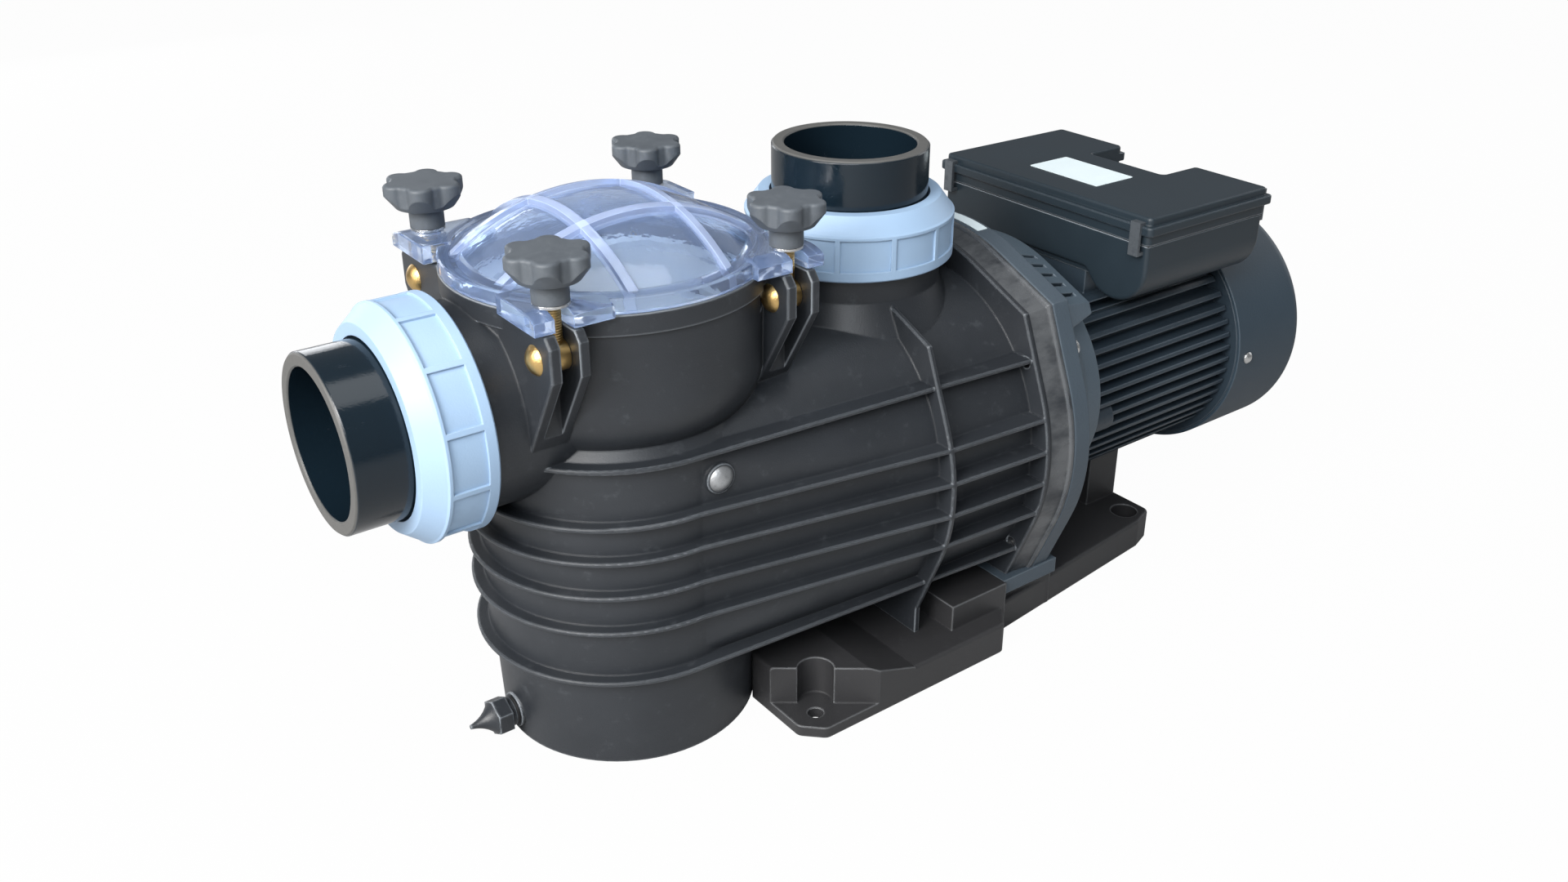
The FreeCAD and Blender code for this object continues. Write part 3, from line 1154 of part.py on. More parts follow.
    stator_rear = "(stator_front + stator_length)"
    keep(shaft_turned("stator_turn", [
        ("stator_front", "rotor_radius + air_gap"), ("stator_front", "frame_bore - 0.1"),
        (stator_rear, "frame_bore - 0.1"), (stator_rear, "rotor_radius + air_gap")]), "stator_core")
    ends = []
    for start in ("stator_front - winding_length", stator_rear):
        ends.append(placed(tube("winding", "frame_bore - 8", "rotor_radius + 5", "winding_length"),
                           (start, "0", "axis_height"), "+X"))
    keep(group("windings", ends), "stator_windings")
    keep(shaft_turned("rotor_turn", [
        ("stator_front", "shaft_radius + 4"), ("stator_front - 6", "shaft_radius + 8"),
        ("stator_front - 6", "rotor_radius - 6"), ("stator_front", "rotor_radius"),
        (stator_rear, "rotor_radius"),
        (f"{stator_rear} + 6", "rotor_radius - 6"), (f"{stator_rear} + 6", "shaft_radius + 8"),
        (stator_rear, "shaft_radius + 4")]), "rotor_core")
    rear_bearing = "(frame_rear + 2 - bearing_width)"
    keep(shaft_turned("shaft_turn", [
        ("impeller_rear - 23", "0"), ("impeller_rear - 23", "shaft_tip_radius - 1"),
        ("impeller_rear - 22", "shaft_tip_radius"), ("body_rear + 4", "shaft_tip_radius"),
        ("body_rear + 4", "shaft_radius"), (f"{hub_rear} + 0.1", "shaft_radius"),
        (f"{hub_rear} + 0.1", "shaft_radius + 3"), ("stator_front - 4", "shaft_radius + 3"),
        ("stator_front - 4", "shaft_radius + 3.97"), (f"{stator_rear} + 4", "shaft_radius + 3.97"),
        (f"{stator_rear} + 4", "shaft_radius + 3"), (f"{rear_bearing} - 0.1", "shaft_radius + 3"),
        (f"{rear_bearing} - 0.1", "shaft_radius"), ("frame_rear + 10", "shaft_radius"),
        ("frame_rear + 10", "shaft_tip_radius"), ("frame_rear + 52", "shaft_tip_radius"),
        ("frame_rear + 52", "0")]), "motor_shaft")
    for name, start in (("front", hub_front), ("rear", rear_bearing)):
        keep(shaft_turned(name + "_bearing_turn", [
            (start, "shaft_radius + 0.03"), (start, "shaft_radius + 4"), (f"{start} + 1", "shaft_radius + 5"),
            (f"{start} + 1", "bearing_radius - 4"), (start, "bearing_radius - 3"), (start, "bearing_radius"),
            (f"{start} + bearing_width", "bearing_radius"), (f"{start} + bearing_width", "bearing_radius - 3"),
            (f"{start} + bearing_width - 1", "bearing_radius - 4"),
            (f"{start} + bearing_width - 1", "shaft_radius + 5"),
            (f"{start} + bearing_width", "shaft_radius + 4"),
            (f"{start} + bearing_width", "shaft_radius + 0.03")]), name + "_bearing")


def tie_rod_place(step, start):
    side, rise = ((-1, 1), (1, 1), (1, -1), (-1, -1))[step]
    return start, f"{side} * tie_rod_circle * cos(45)", f"axis_height + {rise} * tie_rod_circle * sin(45)"


def fan_and_cowl():
    start = "(frame_rear + 22)"
    hub = shaft_turned("fan_hub", [
        (start, "shaft_tip_radius + 0.03"), (start, "20"), (f"{start} + 4", "fan_radius - 20"),
        (f"{start} + 7", "fan_radius - 20"), (f"{start} + 8", "22"), (f"{start} + 28", "18"),
        (f"{start} + 28", "shaft_tip_radius + 0.03")])
    blades = []
    for step in range(sizes["fan_blades"]):
        blade = block("fan_blade", (f"{start} + 4", "-1.5", "17"), (f"{start} + 34", "1.5", "fan_radius"))
        blades.append(spun("fan_blade_turn", blade, 360 * step / sizes["fan_blades"],
                           ("0", "0", "axis_height"), (1, 0, 0)))
    keep(joined("fan_solid", hub, *blades), "cooling_fan")
    shell = shaft_turned("cowl_shell", [
        ("frame_rear", "rear_shield_radius + 0.3"), ("frame_rear", "cowl_radius"),
        ("cowl_rear - cowl_round", "cowl_radius"), ("cowl_rear", "cowl_radius - cowl_round", "cowl_round"),
        ("cowl_rear", "0"), ("cowl_rear - cowl_wall", "0"),
        ("cowl_rear - cowl_wall", "cowl_radius - cowl_round"),
        ("cowl_rear - cowl_round", "cowl_radius - cowl_wall", "-(cowl_round - cowl_wall)"),
        ("frame_rear + 20", "cowl_radius - cowl_wall"), ("frame_rear + 20", "rear_shield_radius + 0.3")])
    cuts = []
    for low, high, count in (("14", "34", 12), ("40", "58", 24), ("64", "82", 36)):
        for step in range(count // 2):
            for way in (1, -1):
                slot = block("cowl_slot", ("cowl_rear - 10", "-2.4", low), ("cowl_rear + 5", "2.4", high))
                cuts.append(spun("cowl_slot_turn", slot, 180 * step / (count // 2) + (0 if way > 0 else 180),
                                 ("0", "0", "axis_height"), (1, 0, 0)))
    for turn in (0, 90, 180, 270):
        hole = rod("cowl_hole", "2.4", "40", ("frame_rear + 12", "0", "cowl_radius - 20"))
        cuts.append(spun("cowl_hole_turn", hole, turn, ("0", "0", "axis_height"), (1, 0, 0)))
    keep(cut("cowl_cut", shell, *cuts), "fan_cowl")


def terminal_box():
    middle = "(box_half - bulge_radius)"
    bulge_height = "(box_tray_base + bulge_rise)"
    blend = "(bulge_radius + bulge_blend)"
    drop = "(bulge_rise + bulge_blend)"
    along = f"sqrt({blend}^2 - {drop}^2)"
    touch_y = f"({middle} - {along} * bulge_radius / {blend})"
    touch_z = f"{bulge_height} - {drop} * bulge_radius / {blend}"
    tray = slab("box_tray", "YZ", [
        ("box_half", "box_top"), ("-box_half", "box_top"), ("-box_half", bulge_height),
        (f"-{touch_y}", touch_z, "-bulge_radius"), (f"-({middle} - {along})", "box_tray_base", "bulge_blend"),
        (f"{middle} - {along}", "box_tray_base"), (touch_y, touch_z, "bulge_blend"),
        ("box_half", bulge_height, "-bulge_radius")], "box_rear - box_front", ("box_front", "0", "0"))
    inner = block("box_tray_inside",
                  ("box_front + box_wall", "-box_half + box_wall", "box_tray_base + box_wall"),
                  ("box_rear - box_wall", "box_half - box_wall", "box_top + 5"))
    well_front, well_half = "(box_front + well_inset)", "(pad_half + well_border)"
    well = block("box_well", (well_front, f"-{well_half}", "pad_height"),
                 ("notch_front", well_half, "box_tray_base + 1"))
    well_inner = block("box_well_inside",
                       (f"{well_front} + box_wall", f"-{well_half} + box_wall", "pad_height + box_wall"),
                       ("notch_front - box_wall", f"{well_half} - box_wall", "box_tray_base + 5"))
    hollows, capacitors = [], []
    for way in (-1, 1):
        centre = f"{way} * {middle}"
        hollows.append(rod("bulge_inside", "bulge_radius - box_wall", "box_rear - box_front - 2 * box_wall",
                           ("box_front + box_wall", centre, bulge_height), "+X"))
        capacitors.append(rod("capacitor", "capacitor_radius", "capacitor_length",
                              ("box_front + box_wall + 2", centre,
                               f"{bulge_height} - (bulge_radius - box_wall - capacitor_radius) + 0.1"), "+X"))
    notch = block("box_notch", ("notch_front", "-notch_half", "200"), ("box_rear + 20", "notch_half", "400"))
    notch_wall = block("box_notch_wall", ("notch_front - box_wall", "-notch_half - box_wall", "200"),
                       ("box_rear + 20", "notch_half + box_wall", "400"))
    wires = rod("box_wire_hole", "12", "60", ("box_front + 30", "0", "pad_height - 20"))
    gland_at = ("notch_front", "0", "box_top - gland_radius - 0.5")
    gland_hole = rod("gland_hole", "gland_radius - 3", "30", ("notch_front - 15",) + gland_at[1:], "+X")
    tray = softened("box_tray_soft", tray, "box_round - 1",
                    lambda edge, box: box.XLength < 0.01 and box.ZMin < number("box_top") - 1)
    well = softened("box_well_soft", well, "box_round", upright)
    solid = joined("box_solid", tray, well)
    inside = cut("box_inside", joined("box_hollow", inner, well_inner, *hollows), notch_wall)
    keep(cut("box_body", solid, notch, inside, wires, gland_hole), "terminal_box")
    keep(group("capacitor_pair", capacitors), "capacitors")

    base = "(box_top + box_gasket)"
    lid = block("box_lid_outer", ("box_front - box_lid_lap", "-box_lid_half", base),
                ("box_rear + box_lid_lap", "box_lid_half", f"{base} + box_lid_height"))
    ledge = block("box_ledge", ("box_front - ledge_reach", "-box_half - ledge_reach", f"{base} + ledge_rise"),
                  ("box_rear + ledge_reach", "box_half + ledge_reach", f"{base} + ledge_rise + ledge_height"))
    room = block("box_lid_inside", ("box_front + box_wall", "-box_half + box_wall", f"{base} - 5"),
                 ("box_rear - box_wall", "box_half - box_wall", f"{base} + box_lid_height - box_wall"))
    lid_notch = block("lid_notch", ("notch_front + 1.5", "-notch_half + 1.5", "200"),
                      ("box_rear + 20", "notch_half - 1.5", "400"))
    lid = softened("box_lid_sides", cut("box_lid_plan", lid, lid_notch), "box_round", upright)
    lid = softened("box_lid_rim", lid, "box_lid_round",
                   lambda edge, box: box.ZMin > lid.Shape.BoundBox.ZMax - 1)
    ledge = softened("box_ledge_sides", ledge, "box_round", upright)
    ledge = softened("box_ledge_rim", ledge, "edge_round", flat_in_z)
    lid = joined("box_lid_solid", lid, cut("box_ledge_plan", ledge, lid_notch))
    keep(cut("box_lid_cut", lid, cut("box_lid_room", room, notch_wall)), "terminal_box_lid")
    sheet_outer = block("gasket_outer", ("box_front + 0.2", "-box_half + 0.2", "box_top"),
                        ("box_rear - 0.2", "box_half - 0.2", base))
    sheet_inner = block("gasket_inner", ("box_front + box_wall", "-box_half + box_wall", "box_top - 5"),
                        ("box_rear - box_wall", "box_half - box_wall", f"{base} + 5"))
    keep(cut("gasket_cut", sheet_outer, notch, cut("gasket_room", sheet_inner, notch_wall)), "box_gasket_seal")
    clips = []
    ledge_top = f"{base} + ledge_rise + ledge_height"
    for name, (side, way) in corners.items():
        wall = "box_front" if side < 0 else "box_rear"
        rim = f"{wall} + {side} * ledge_reach"
        across = f"{way} * (box_half - box_round - clip_width / 2)"
        near, far = f"{across} - clip_width / 2", f"{across} + clip_width / 2"

        def bar(low_x, high_x, low_z, high_z):
            left, right = (low_x, high_x) if side > 0 else (high_x, low_x)
            return block("clip_bar", (left, near, low_z), (right, far, high_z))

        out = f"{rim} + {side} * clip_thick"
        clips.append(joined("clip_" + name,
                            bar(rim, out, "box_top - clip_drop", f"{ledge_top} + clip_thick"),
                            bar(f"{wall} + {side}", out, ledge_top, f"{ledge_top} + clip_thick"),
                            bar(wall, out, "box_top - clip_drop", "box_top - clip_drop + clip_thick")))
    keep(group("clip_group", clips), "box_lid_clips")
    rail = block("terminal_rail", ("box_front + 48", "-terminal_half", "pad_height + box_wall"),
                 ("box_front + 78", "terminal_half", "pad_height + box_wall + terminal_height - 8"))
    ridge = block("terminal_ridge", ("box_front + 58", "-terminal_half", "pad_height + box_wall"),
                  ("box_front + 68", "terminal_half", "pad_height + box_wall + terminal_height"))
    wells = [rod("terminal_well", "2.5", "20",
                 (f"box_front + {x}", f"{-18 + 9 * step}", "pad_height + box_wall + 8"))
             for x in (53, 73) for step in range(5)]
    keep(cut("terminal_cut", joined("terminal_solid", rail, ridge), *wells), "terminal_block")

    neck = rod("gland_neck", "gland_radius - 3.05", "14", ("notch_front - 14",) + gland_at[1:], "+X")
    collar = rod("gland_collar", "gland_radius", "7", gland_at, "+X")
    dome = rod("gland_dome", "gland_radius - 1", "gland_length - 12", ("notch_front + 6",) + gland_at[1:], "+X")
    tip = doc.addObject("Part::Cone", "gland_tip")
    bind(tip, Radius1="gland_radius - 1", Radius2="gland_radius - 3", Height="6")
    placed(tip, ("notch_front + gland_length - 6",) + gland_at[1:], "+X")
    inside_nut = rod("gland_nut", "gland_radius", "4", ("notch_front - box_wall - 4",) + gland_at[1:], "+X")
    bore = rod("gland_bore_rod", "gland_bore", "80", ("notch_front - 30",) + gland_at[1:], "+X")
    keep(cut("gland_cut", joined("gland_solid", neck, collar, dome, tip, inside_nut), bore), "cable_gland")


keep(pump_body(), "pump_body")
union("suction", ("-suction_face", "0", "suction_height"),
      ("-suction_face + union_ring_thick - 0.22", "0", "suction_height"), "-X")
union("discharge", ("discharge_place", "0", "discharge_face"),
      ("discharge_place", "0", "discharge_face - union_ring_thick + 0.22"), "+Z")
strainer_lid()
strainer_basket()
for name, (side, way) in corners.items():
    lid_clamp(name, side, way)
pivot_pins()
drain_and_side_screw()
pump_foot()
wet_end()
motor()
fan_and_cowl()
terminal_box()

doc.recompute()
for thing in doc.Objects:
    if "Invalid" in thing.State or "Error" in thing.State:
        raise RuntimeError(f"{thing.Name} did not rebuild: {thing.State}")
labels = [thing.Label for thing in finished]
if len(set(labels)) != len(labels):
    raise RuntimeError("two sub-parts share a name")
for thing in finished:
    if thing.Shape.isNull() or not thing.Shape.isValid() or not thing.Shape.Solids:
        raise RuntimeError(f"{thing.Label} has no valid solid")

os.makedirs("parts", exist_ok=True)
for thing in finished:
    thing.Shape.exportStep(f"parts/{thing.Label}.step")
    print(f"{thing.Label}: {len(thing.Shape.Solids)} solids, {thing.Shape.Volume / 1000:.1f} cm3")
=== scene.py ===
import math

import bmesh
import bpy
from mathutils import Matrix, Vector


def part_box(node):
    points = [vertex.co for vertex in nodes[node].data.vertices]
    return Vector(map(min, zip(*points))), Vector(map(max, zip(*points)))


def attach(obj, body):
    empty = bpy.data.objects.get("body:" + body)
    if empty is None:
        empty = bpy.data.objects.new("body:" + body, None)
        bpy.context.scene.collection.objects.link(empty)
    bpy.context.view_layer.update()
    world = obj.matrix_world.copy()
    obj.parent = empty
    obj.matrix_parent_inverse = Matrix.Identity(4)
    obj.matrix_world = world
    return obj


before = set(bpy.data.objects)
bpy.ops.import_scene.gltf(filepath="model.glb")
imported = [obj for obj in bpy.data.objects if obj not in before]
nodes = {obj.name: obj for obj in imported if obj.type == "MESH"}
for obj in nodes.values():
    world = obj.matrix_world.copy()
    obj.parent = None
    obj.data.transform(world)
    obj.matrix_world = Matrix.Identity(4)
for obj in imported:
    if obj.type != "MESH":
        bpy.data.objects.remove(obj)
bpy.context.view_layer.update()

scene = bpy.context.scene
print("frame loaded:", len(nodes), "nodes")


# a node's socket, which can be used in sums
class Wire:
    def __init__(self, tree, socket):
        self.tree = tree
        self.socket = socket

    def maths(self, operation, first, second):
        return self.tree.add("ShaderNodeMath", {"operation": operation}, {0: first, 1: second})

    def __add__(self, other):
        return self.maths("ADD", self, other)

    def __sub__(self, other):
        return self.maths("SUBTRACT", self, other)

    def __rsub__(self, other):
        return self.maths("SUBTRACT", other, self)

    def __mul__(self, other):
        return self.maths("MULTIPLY", self, other)

    def __gt__(self, other):
        return self.maths("GREATER_THAN", self, other)

    def __lt__(self, other):
        return self.maths("LESS_THAN", self, other)

    def __abs__(self):
        return self.tree.add("ShaderNodeMath", {"operation": "ABSOLUTE"}, {0: self})

    __radd__ = __add__
    __rmul__ = __mul__


# the nodes of a material or of the world
class Tree:
    def __init__(self, owner, shader, output):
        owner.use_nodes = True
        self.nodes = owner.node_tree.nodes
        self.links = owner.node_tree.links
        self.shader = self.nodes[shader]
        self.output = self.nodes[output]

    def join(self, value, socket):
        if isinstance(value, Wire):
            self.links.new(value.socket, socket)
        else:
            socket.default_value = value

    # a node of any type: its settings go in first, then the values or links of its sockets
    def add(self, kind, settings=None, sockets=None, out=0):
        node = self.nodes.new(kind)
        for key, value in (settings or {}).items():
            setattr(node, key, value)
        for key, value in (sockets or {}).items():
            self.join(value, node.inputs[key])
        return Wire(self, node.outputs[out])

    def set(self, **sockets):
        for key, value in sockets.items():
            self.join(value, self.shader.inputs[key.replace("_", " ")])

    # lays a second shader over the first one
    def cover(self, share, second):
        first = Wire(self, self.shader.outputs[0])
        both = self.add("ShaderNodeMixShader", None, {0: share, 1: first, 2: second})
        self.join(both, self.output.inputs["Surface"])


# turnSpan is how far rounding turns the normal, thinSpan how thin the solid is behind the surface
edgeMask = {"samples": 4, "turnSpan": (0.01, 0.16), "thinSpan": (0.04, 0.30)}


# a material being built
class Finish(Tree):
    def __init__(self, name):
        self.material = bpy.data.materials.new(name)
        super().__init__(self.material, "Principled BSDF", "Material Output")
        self.spot = self.add("ShaderNodeTexCoord", out="Object")

    def along(self, axis):
        return self.add("ShaderNodeSeparateXYZ", None, {0: self.spot}, axis)

    def noise(self, size, detail, rough=0.5, stretch=(1, 1, 1)):
        place = self.add("ShaderNodeVectorMath", {"operation": "MULTIPLY"}, {0: self.spot, 1: stretch})
        sockets = {"Vector": place, "Scale": 1 / size, "Detail": detail, "Roughness": rough}
        return self.add("ShaderNodeTexNoise", None, sockets, "Fac")

    def step(self, value, low, high):
        sockets = {"Value": value, "From Min": low, "From Max": high}
        return self.add("ShaderNodeMapRange", {"interpolation_type": "SMOOTHSTEP"}, sockets, "Result")

    def mix(self, share, first, second):
        first, second = [(*colour, 1) if isinstance(colour, tuple) else colour for colour in (first, second)]
        return self.add("ShaderNodeMix", {"data_type": "RGBA"}, {0: share, 6: first, 7: second}, 2)

    # the normal with its edges rounded over, and a mask of the edges that point outward
    def round(self, radius):
        samples = edgeMask["samples"]
        soft = self.add("ShaderNodeBevel", {"samples": samples}, {"Radius": radius})
        hard = self.add("ShaderNodeNewGeometry", out="Normal")
        same = self.add("ShaderNodeVectorMath", {"operation": "DOT_PRODUCT"}, {0: soft, 1: hard}, "Value")
        solid = self.add("ShaderNodeAmbientOcclusion", {"inside": True, "samples": samples},
                         {"Distance": radius}, "AO")
        return soft, self.step(1 - same, *edgeMask["turnSpan"]) * self.step(1 - solid, *edgeMask["thinSpan"])

    def bump(self, height, depth, normal, strength=1.0):
        return self.add("ShaderNodeBump", None,
                        {"Height": height, "Distance": depth, "Strength": strength, "Normal": normal})


def wear(material, *names):
    for name in names:
        nodes[name].data.materials.clear()
        nodes[name].data.materials.append(material)


def addObject(name, data):
    item = bpy.data.objects.new(name, data)
    scene.collection.objects.link(item)
    return item


# In the looks below, lengths are in metres. A noise is its size, detail, roughness and stretch.
# A span is where a mask starts and where it is full. A share is how much of something is mixed in.

# body, foot and drain plug are black moulded plastic, pale along their convex edges: a painted highlight on
# the edges, partly edge wear
bodyPlastic = {
    "deep": (0.008, 0.010, 0.013), "pale": (0.030, 0.034, 0.040), "edge": (0.52, 0.57, 0.62), "round": 0.0022,
    "cloud": (0.09, 4, 0.6), "flow": (0.03, 3, 0.6, (0.25, 1, 1)), "flowShare": 0.4,
    "dust": (0.012, 5, 0.7), "dustSpan": (0.56, 0.78), "dustShare": 0.04, "edgeShare": 0.30, "edgeFlow": 0.5,
    "rough": 0.38, "cloudRough": 0.10, "dustRough": 0.08, "edgeGloss": 0.06,
    "grain": (0.0011, 3, 0.6), "grainDepth": 0.00012, "flowHeight": 1.5,
}
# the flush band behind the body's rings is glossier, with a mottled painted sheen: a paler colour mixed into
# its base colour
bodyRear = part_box("pump_body")[1].x
bodyBand = {
    "low": bodyRear - 0.019, "high": bodyRear, "fade": 0.0004, "paintedSheen": (0.095, 0.100, 0.105),
    "mottle": (0.022, 4, 0.65, (0.5, 1, 1)), "mottleSpan": (0.30, 0.66), "paintedSheenShare": 0.8, "gloss": 0.18,
}
footPlastic = dict(bodyPlastic, deep=(0.014, 0.014, 0.015), pale=(0.030, 0.030, 0.032),
                   edge=(0.24, 0.25, 0.26), rough=0.42)
plugPlastic = dict(bodyPlastic, rough=0.36)


def makeBodyPlastic(name, look, band=None):
    finish = Finish(name)
    soft, edge = finish.round(look["round"])
    cloud = finish.noise(*look["cloud"])
    flow = finish.noise(*look["flow"])
    dust = finish.step(finish.noise(*look["dust"]), *look["dustSpan"])
    shade = cloud * (1 - look["flowShare"]) + flow * look["flowShare"]
    colour = finish.mix(shade, look["deep"], look["pale"])
    colour = finish.mix(dust * look["dustShare"], colour, look["edge"])
    # pale convex edges: painted highlight along the edges, partly wear
    colour = finish.mix(edge * (look["edgeShare"] + flow * look["edgeFlow"]), colour, look["edge"])
    rough = look["rough"] + cloud * look["cloudRough"] + dust * look["dustRough"] - edge * look["edgeGloss"]
    if band:
        along = finish.along("X")
        inside = finish.step(along, band["low"], band["low"] + band["fade"]) * (along < band["high"])
        # painted sheen: mottled paler colour on the band
        paintedSheen = inside * finish.step(finish.noise(*band["mottle"]), *band["mottleSpan"])
        colour = finish.mix(paintedSheen * band["paintedSheenShare"], colour, band["paintedSheen"])
        rough = rough - paintedSheen * band["gloss"]
    height = finish.noise(*look["grain"]) + flow * look["flowHeight"]
    finish.set(Base_Color=colour, Roughness=rough, Normal=finish.bump(height, look["grainDepth"], soft))
    return finish.material


wear(makeBodyPlastic("bodyPlastic", bodyPlastic, bodyBand), "pump_body")
wear(makeBodyPlastic("footPlastic", footPlastic), "pump_foot")
wear(makeBodyPlastic("plugPlastic", plugPlastic), "drain_plug")
print("moulded plastic done")


# the pipe ends are glossy, with a duller sawn end; a painted highlight lightens the sawn end's rim, and
# scratches (wear) and convex edges (painted highlight) take a paler colour
pipePlastic = {
    "colour": (0.005, 0.011, 0.017), "scuffAndHighlight": (0.022, 0.029, 0.038), "sawn": (0.105, 0.103, 0.097),
    "rim": (0.30, 0.30, 0.29), "round": 0.0006, "sawnFrom": 0.0014, "sawnFull": 0.0004,
    "scratch": (0.004, 6, 0.8, (0.3, 1, 0.3)), "scratchSpan": (0.62, 0.70), "scratchShare": 0.25,
    "edgeShare": 0.35, "sawMarks": (0.003, 4, 0.7), "sawMarkShare": 0.35, "rimShare": 0.5,
    "rough": 0.12, "waveRough": 0.05, "sawnRough": 0.35, "scratchRough": 0.15, "specular": 0.42,
    "wave": (0.05, 3, 0.5), "grain": (0.0015, 2), "grainShare": 0.15, "depth": 0.0004,
}


def makePipePlastic(name, look, axis, place, toward):
    finish = Finish(name)
    soft, edge = finish.round(look["round"])
    end = finish.step(toward * finish.along(axis), place - look["sawnFrom"], place - look["sawnFull"])
    wave = finish.noise(*look["wave"])
    scratches = finish.step(finish.noise(*look["scratch"]), *look["scratchSpan"])
    sawMarks = 1 - look["sawMarkShare"] + look["sawMarkShare"] * finish.noise(*look["sawMarks"])
    # scratches are wear; the convex edges mixed in here are a painted highlight, partly wear
    scuffs = scratches * look["scratchShare"] + edge * look["edgeShare"]
    colour = finish.mix(scuffs, look["colour"], look["scuffAndHighlight"])
    colour = finish.mix(end * sawMarks, colour, look["sawn"])
    # painted highlight on the rim of the sawn end
    colour = finish.mix(edge * end * look["rimShare"], colour, look["rim"])
    rough = look["rough"] + wave * look["waveRough"] + end * look["sawnRough"]
    rough = rough + scratches * look["scratchRough"]
    height = wave + look["grainShare"] * finish.noise(*look["grain"])
    finish.set(Base_Color=colour, Roughness=rough, Specular_IOR_Level=look["specular"],
               Normal=finish.bump(height, look["depth"], soft))
    return finish.material


suctionEnd = -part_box("suction_tailpiece")[0].x
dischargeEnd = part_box("discharge_tailpiece")[1].z
wear(makePipePlastic("suctionPipePlastic", pipePlastic, "X", suctionEnd, -1), "suction_tailpiece")
wear(makePipePlastic("dischargePipePlastic", pipePlastic, "Z", dischargeEnd, 1), "discharge_tailpiece")


# union nuts, lighter along their convex edges: a painted highlight
nutPlastic = {
    "colour": (0.28, 0.40, 0.56), "pale": (0.34, 0.48, 0.65), "grime": (0.20, 0.27, 0.33),
    "edge": (0.62, 0.76, 0.90), "edgeShare": 0.35, "round": 0.0009, "cloud": (0.05, 3, 0.5),
    "specks": (0.0035, 5, 0.8), "speckSpan": (0.66, 0.74), "speckShare": 0.5,
    "rough": 0.46, "cloudRough": 0.1, "grain": (0.0012, 3, 0.6), "grainDepth": 0.00008,
}


def makeNutPlastic(look):
    finish = Finish("nutPlastic")
    soft, edge = finish.round(look["round"])
    cloud = finish.noise(*look["cloud"])
    specks = finish.step(finish.noise(*look["specks"]), *look["speckSpan"])
    colour = finish.mix(cloud, look["colour"], look["pale"])
    # painted highlight on the nut's convex edges
    colour = finish.mix(edge * look["edgeShare"], colour, look["edge"])
    colour = finish.mix(specks * look["speckShare"], colour, look["grime"])
    finish.set(Base_Color=colour, Roughness=look["rough"] + cloud * look["cloudRough"],
               Normal=finish.bump(finish.noise(*look["grain"]), look["grainDepth"], soft))
    return finish.material


wear(makeNutPlastic(nutPlastic), "suction_union_nut", "discharge_union_nut")
print("unions done")


# clear lid: the ribs over the dome are milkier than the thin wall, and the wall's foot is darker
clearPlastic = {
    "tint": (0.68, 0.80, 0.98), "pale": (0.84, 0.92, 1.0), "foot": (0.30, 0.37, 0.55), "footShare": 0.6,
    "haze": (0.36, 0.49, 0.80), "ribHaze": (0.58, 0.69, 0.98), "hazeRough": 0.28, "scuffHaze": 0.5,
    "hazeShare": 0.14, "edgeShare": 0.40, "scuffShare": 0.10, "ribShare": 0.24,
    "rough": 0.04, "scuffRough": 0.15, "refraction": 1.47, "round": 0.0008,
    "ripple": (0.02, 3, 0.5), "rippleDepth": 0.0006, "rippleStrength": 0.6,
    "scuffs": (0.003, 6, 0.8), "scuffSpan": (0.60, 0.72),
    "ribPlace": 0.032, "ribSpan": (0.0035, 0.0025), "domeReach": 0.092, "footWide": 0.004, "ringReach": 0.097,
}


def makeClearPlastic(look):
    finish = Finish("clearPlastic")
    soft, edge = finish.round(look["round"])
    ripple = finish.noise(*look["ripple"])
    scuffs = finish.step(finish.noise(*look["scuffs"]), *look["scuffSpan"])
    ways = finish.along("X"), finish.along("Y")
    flat = finish.add("ShaderNodeCombineXYZ", None, {0: ways[0], 1: ways[1]})
    out = finish.add("ShaderNodeVectorMath", {"operation": "LENGTH"}, {0: flat}, "Value")
    dome = look["domeReach"]
    ribs = sum(finish.step(abs(abs(way) - look["ribPlace"]), *look["ribSpan"]) for way in ways)
    ribs = ribs * (out < dome)
    foot = finish.step(out, dome - look["footWide"], dome) * (out < look["ringReach"])
    tint = finish.mix(foot * look["footShare"], finish.mix(ripple, look["tint"], look["pale"]), look["foot"])
    normal = finish.bump(ripple, look["rippleDepth"], soft, look["rippleStrength"])
    finish.set(Base_Color=tint, Transmission_Weight=1.0, IOR=look["refraction"],
               Roughness=look["rough"] + scuffs * look["scuffRough"], Normal=normal)
    milk = finish.mix(scuffs * look["scuffHaze"] + ribs, look["haze"], look["ribHaze"])
    haze = finish.add("ShaderNodeBsdfPrincipled", None,
                      {"Base Color": milk, "Roughness": look["hazeRough"], "Normal": normal}, "BSDF")
    # more milky haze along the lid's convex edges: a painted highlight; scuffs add real haze
    share = look["hazeShare"] + edge * look["edgeShare"] + scuffs * look["scuffShare"]
    finish.cover(share + ribs * look["ribShare"], haze)
    return finish.material


wear(makeClearPlastic(clearPlastic), "strainer_lid")


# lid knobs, lighter along their convex edges: a painted highlight; rubbed spots are wear
knobPlastic = {
    "deep": (0.054, 0.063, 0.074), "pale": (0.094, 0.107, 0.121), "edge": (0.20, 0.215, 0.23),
    "edgeShare": 0.45, "rubShare": 0.15, "round": 0.0009, "cloud": (0.02, 4, 0.6),
    "rub": (0.005, 5, 0.75), "rubSpan": (0.5, 0.75), "rough": 0.52, "rubRough": 0.1,
    "grain": (0.0009, 3, 0.6), "grainDepth": 0.0001,
}


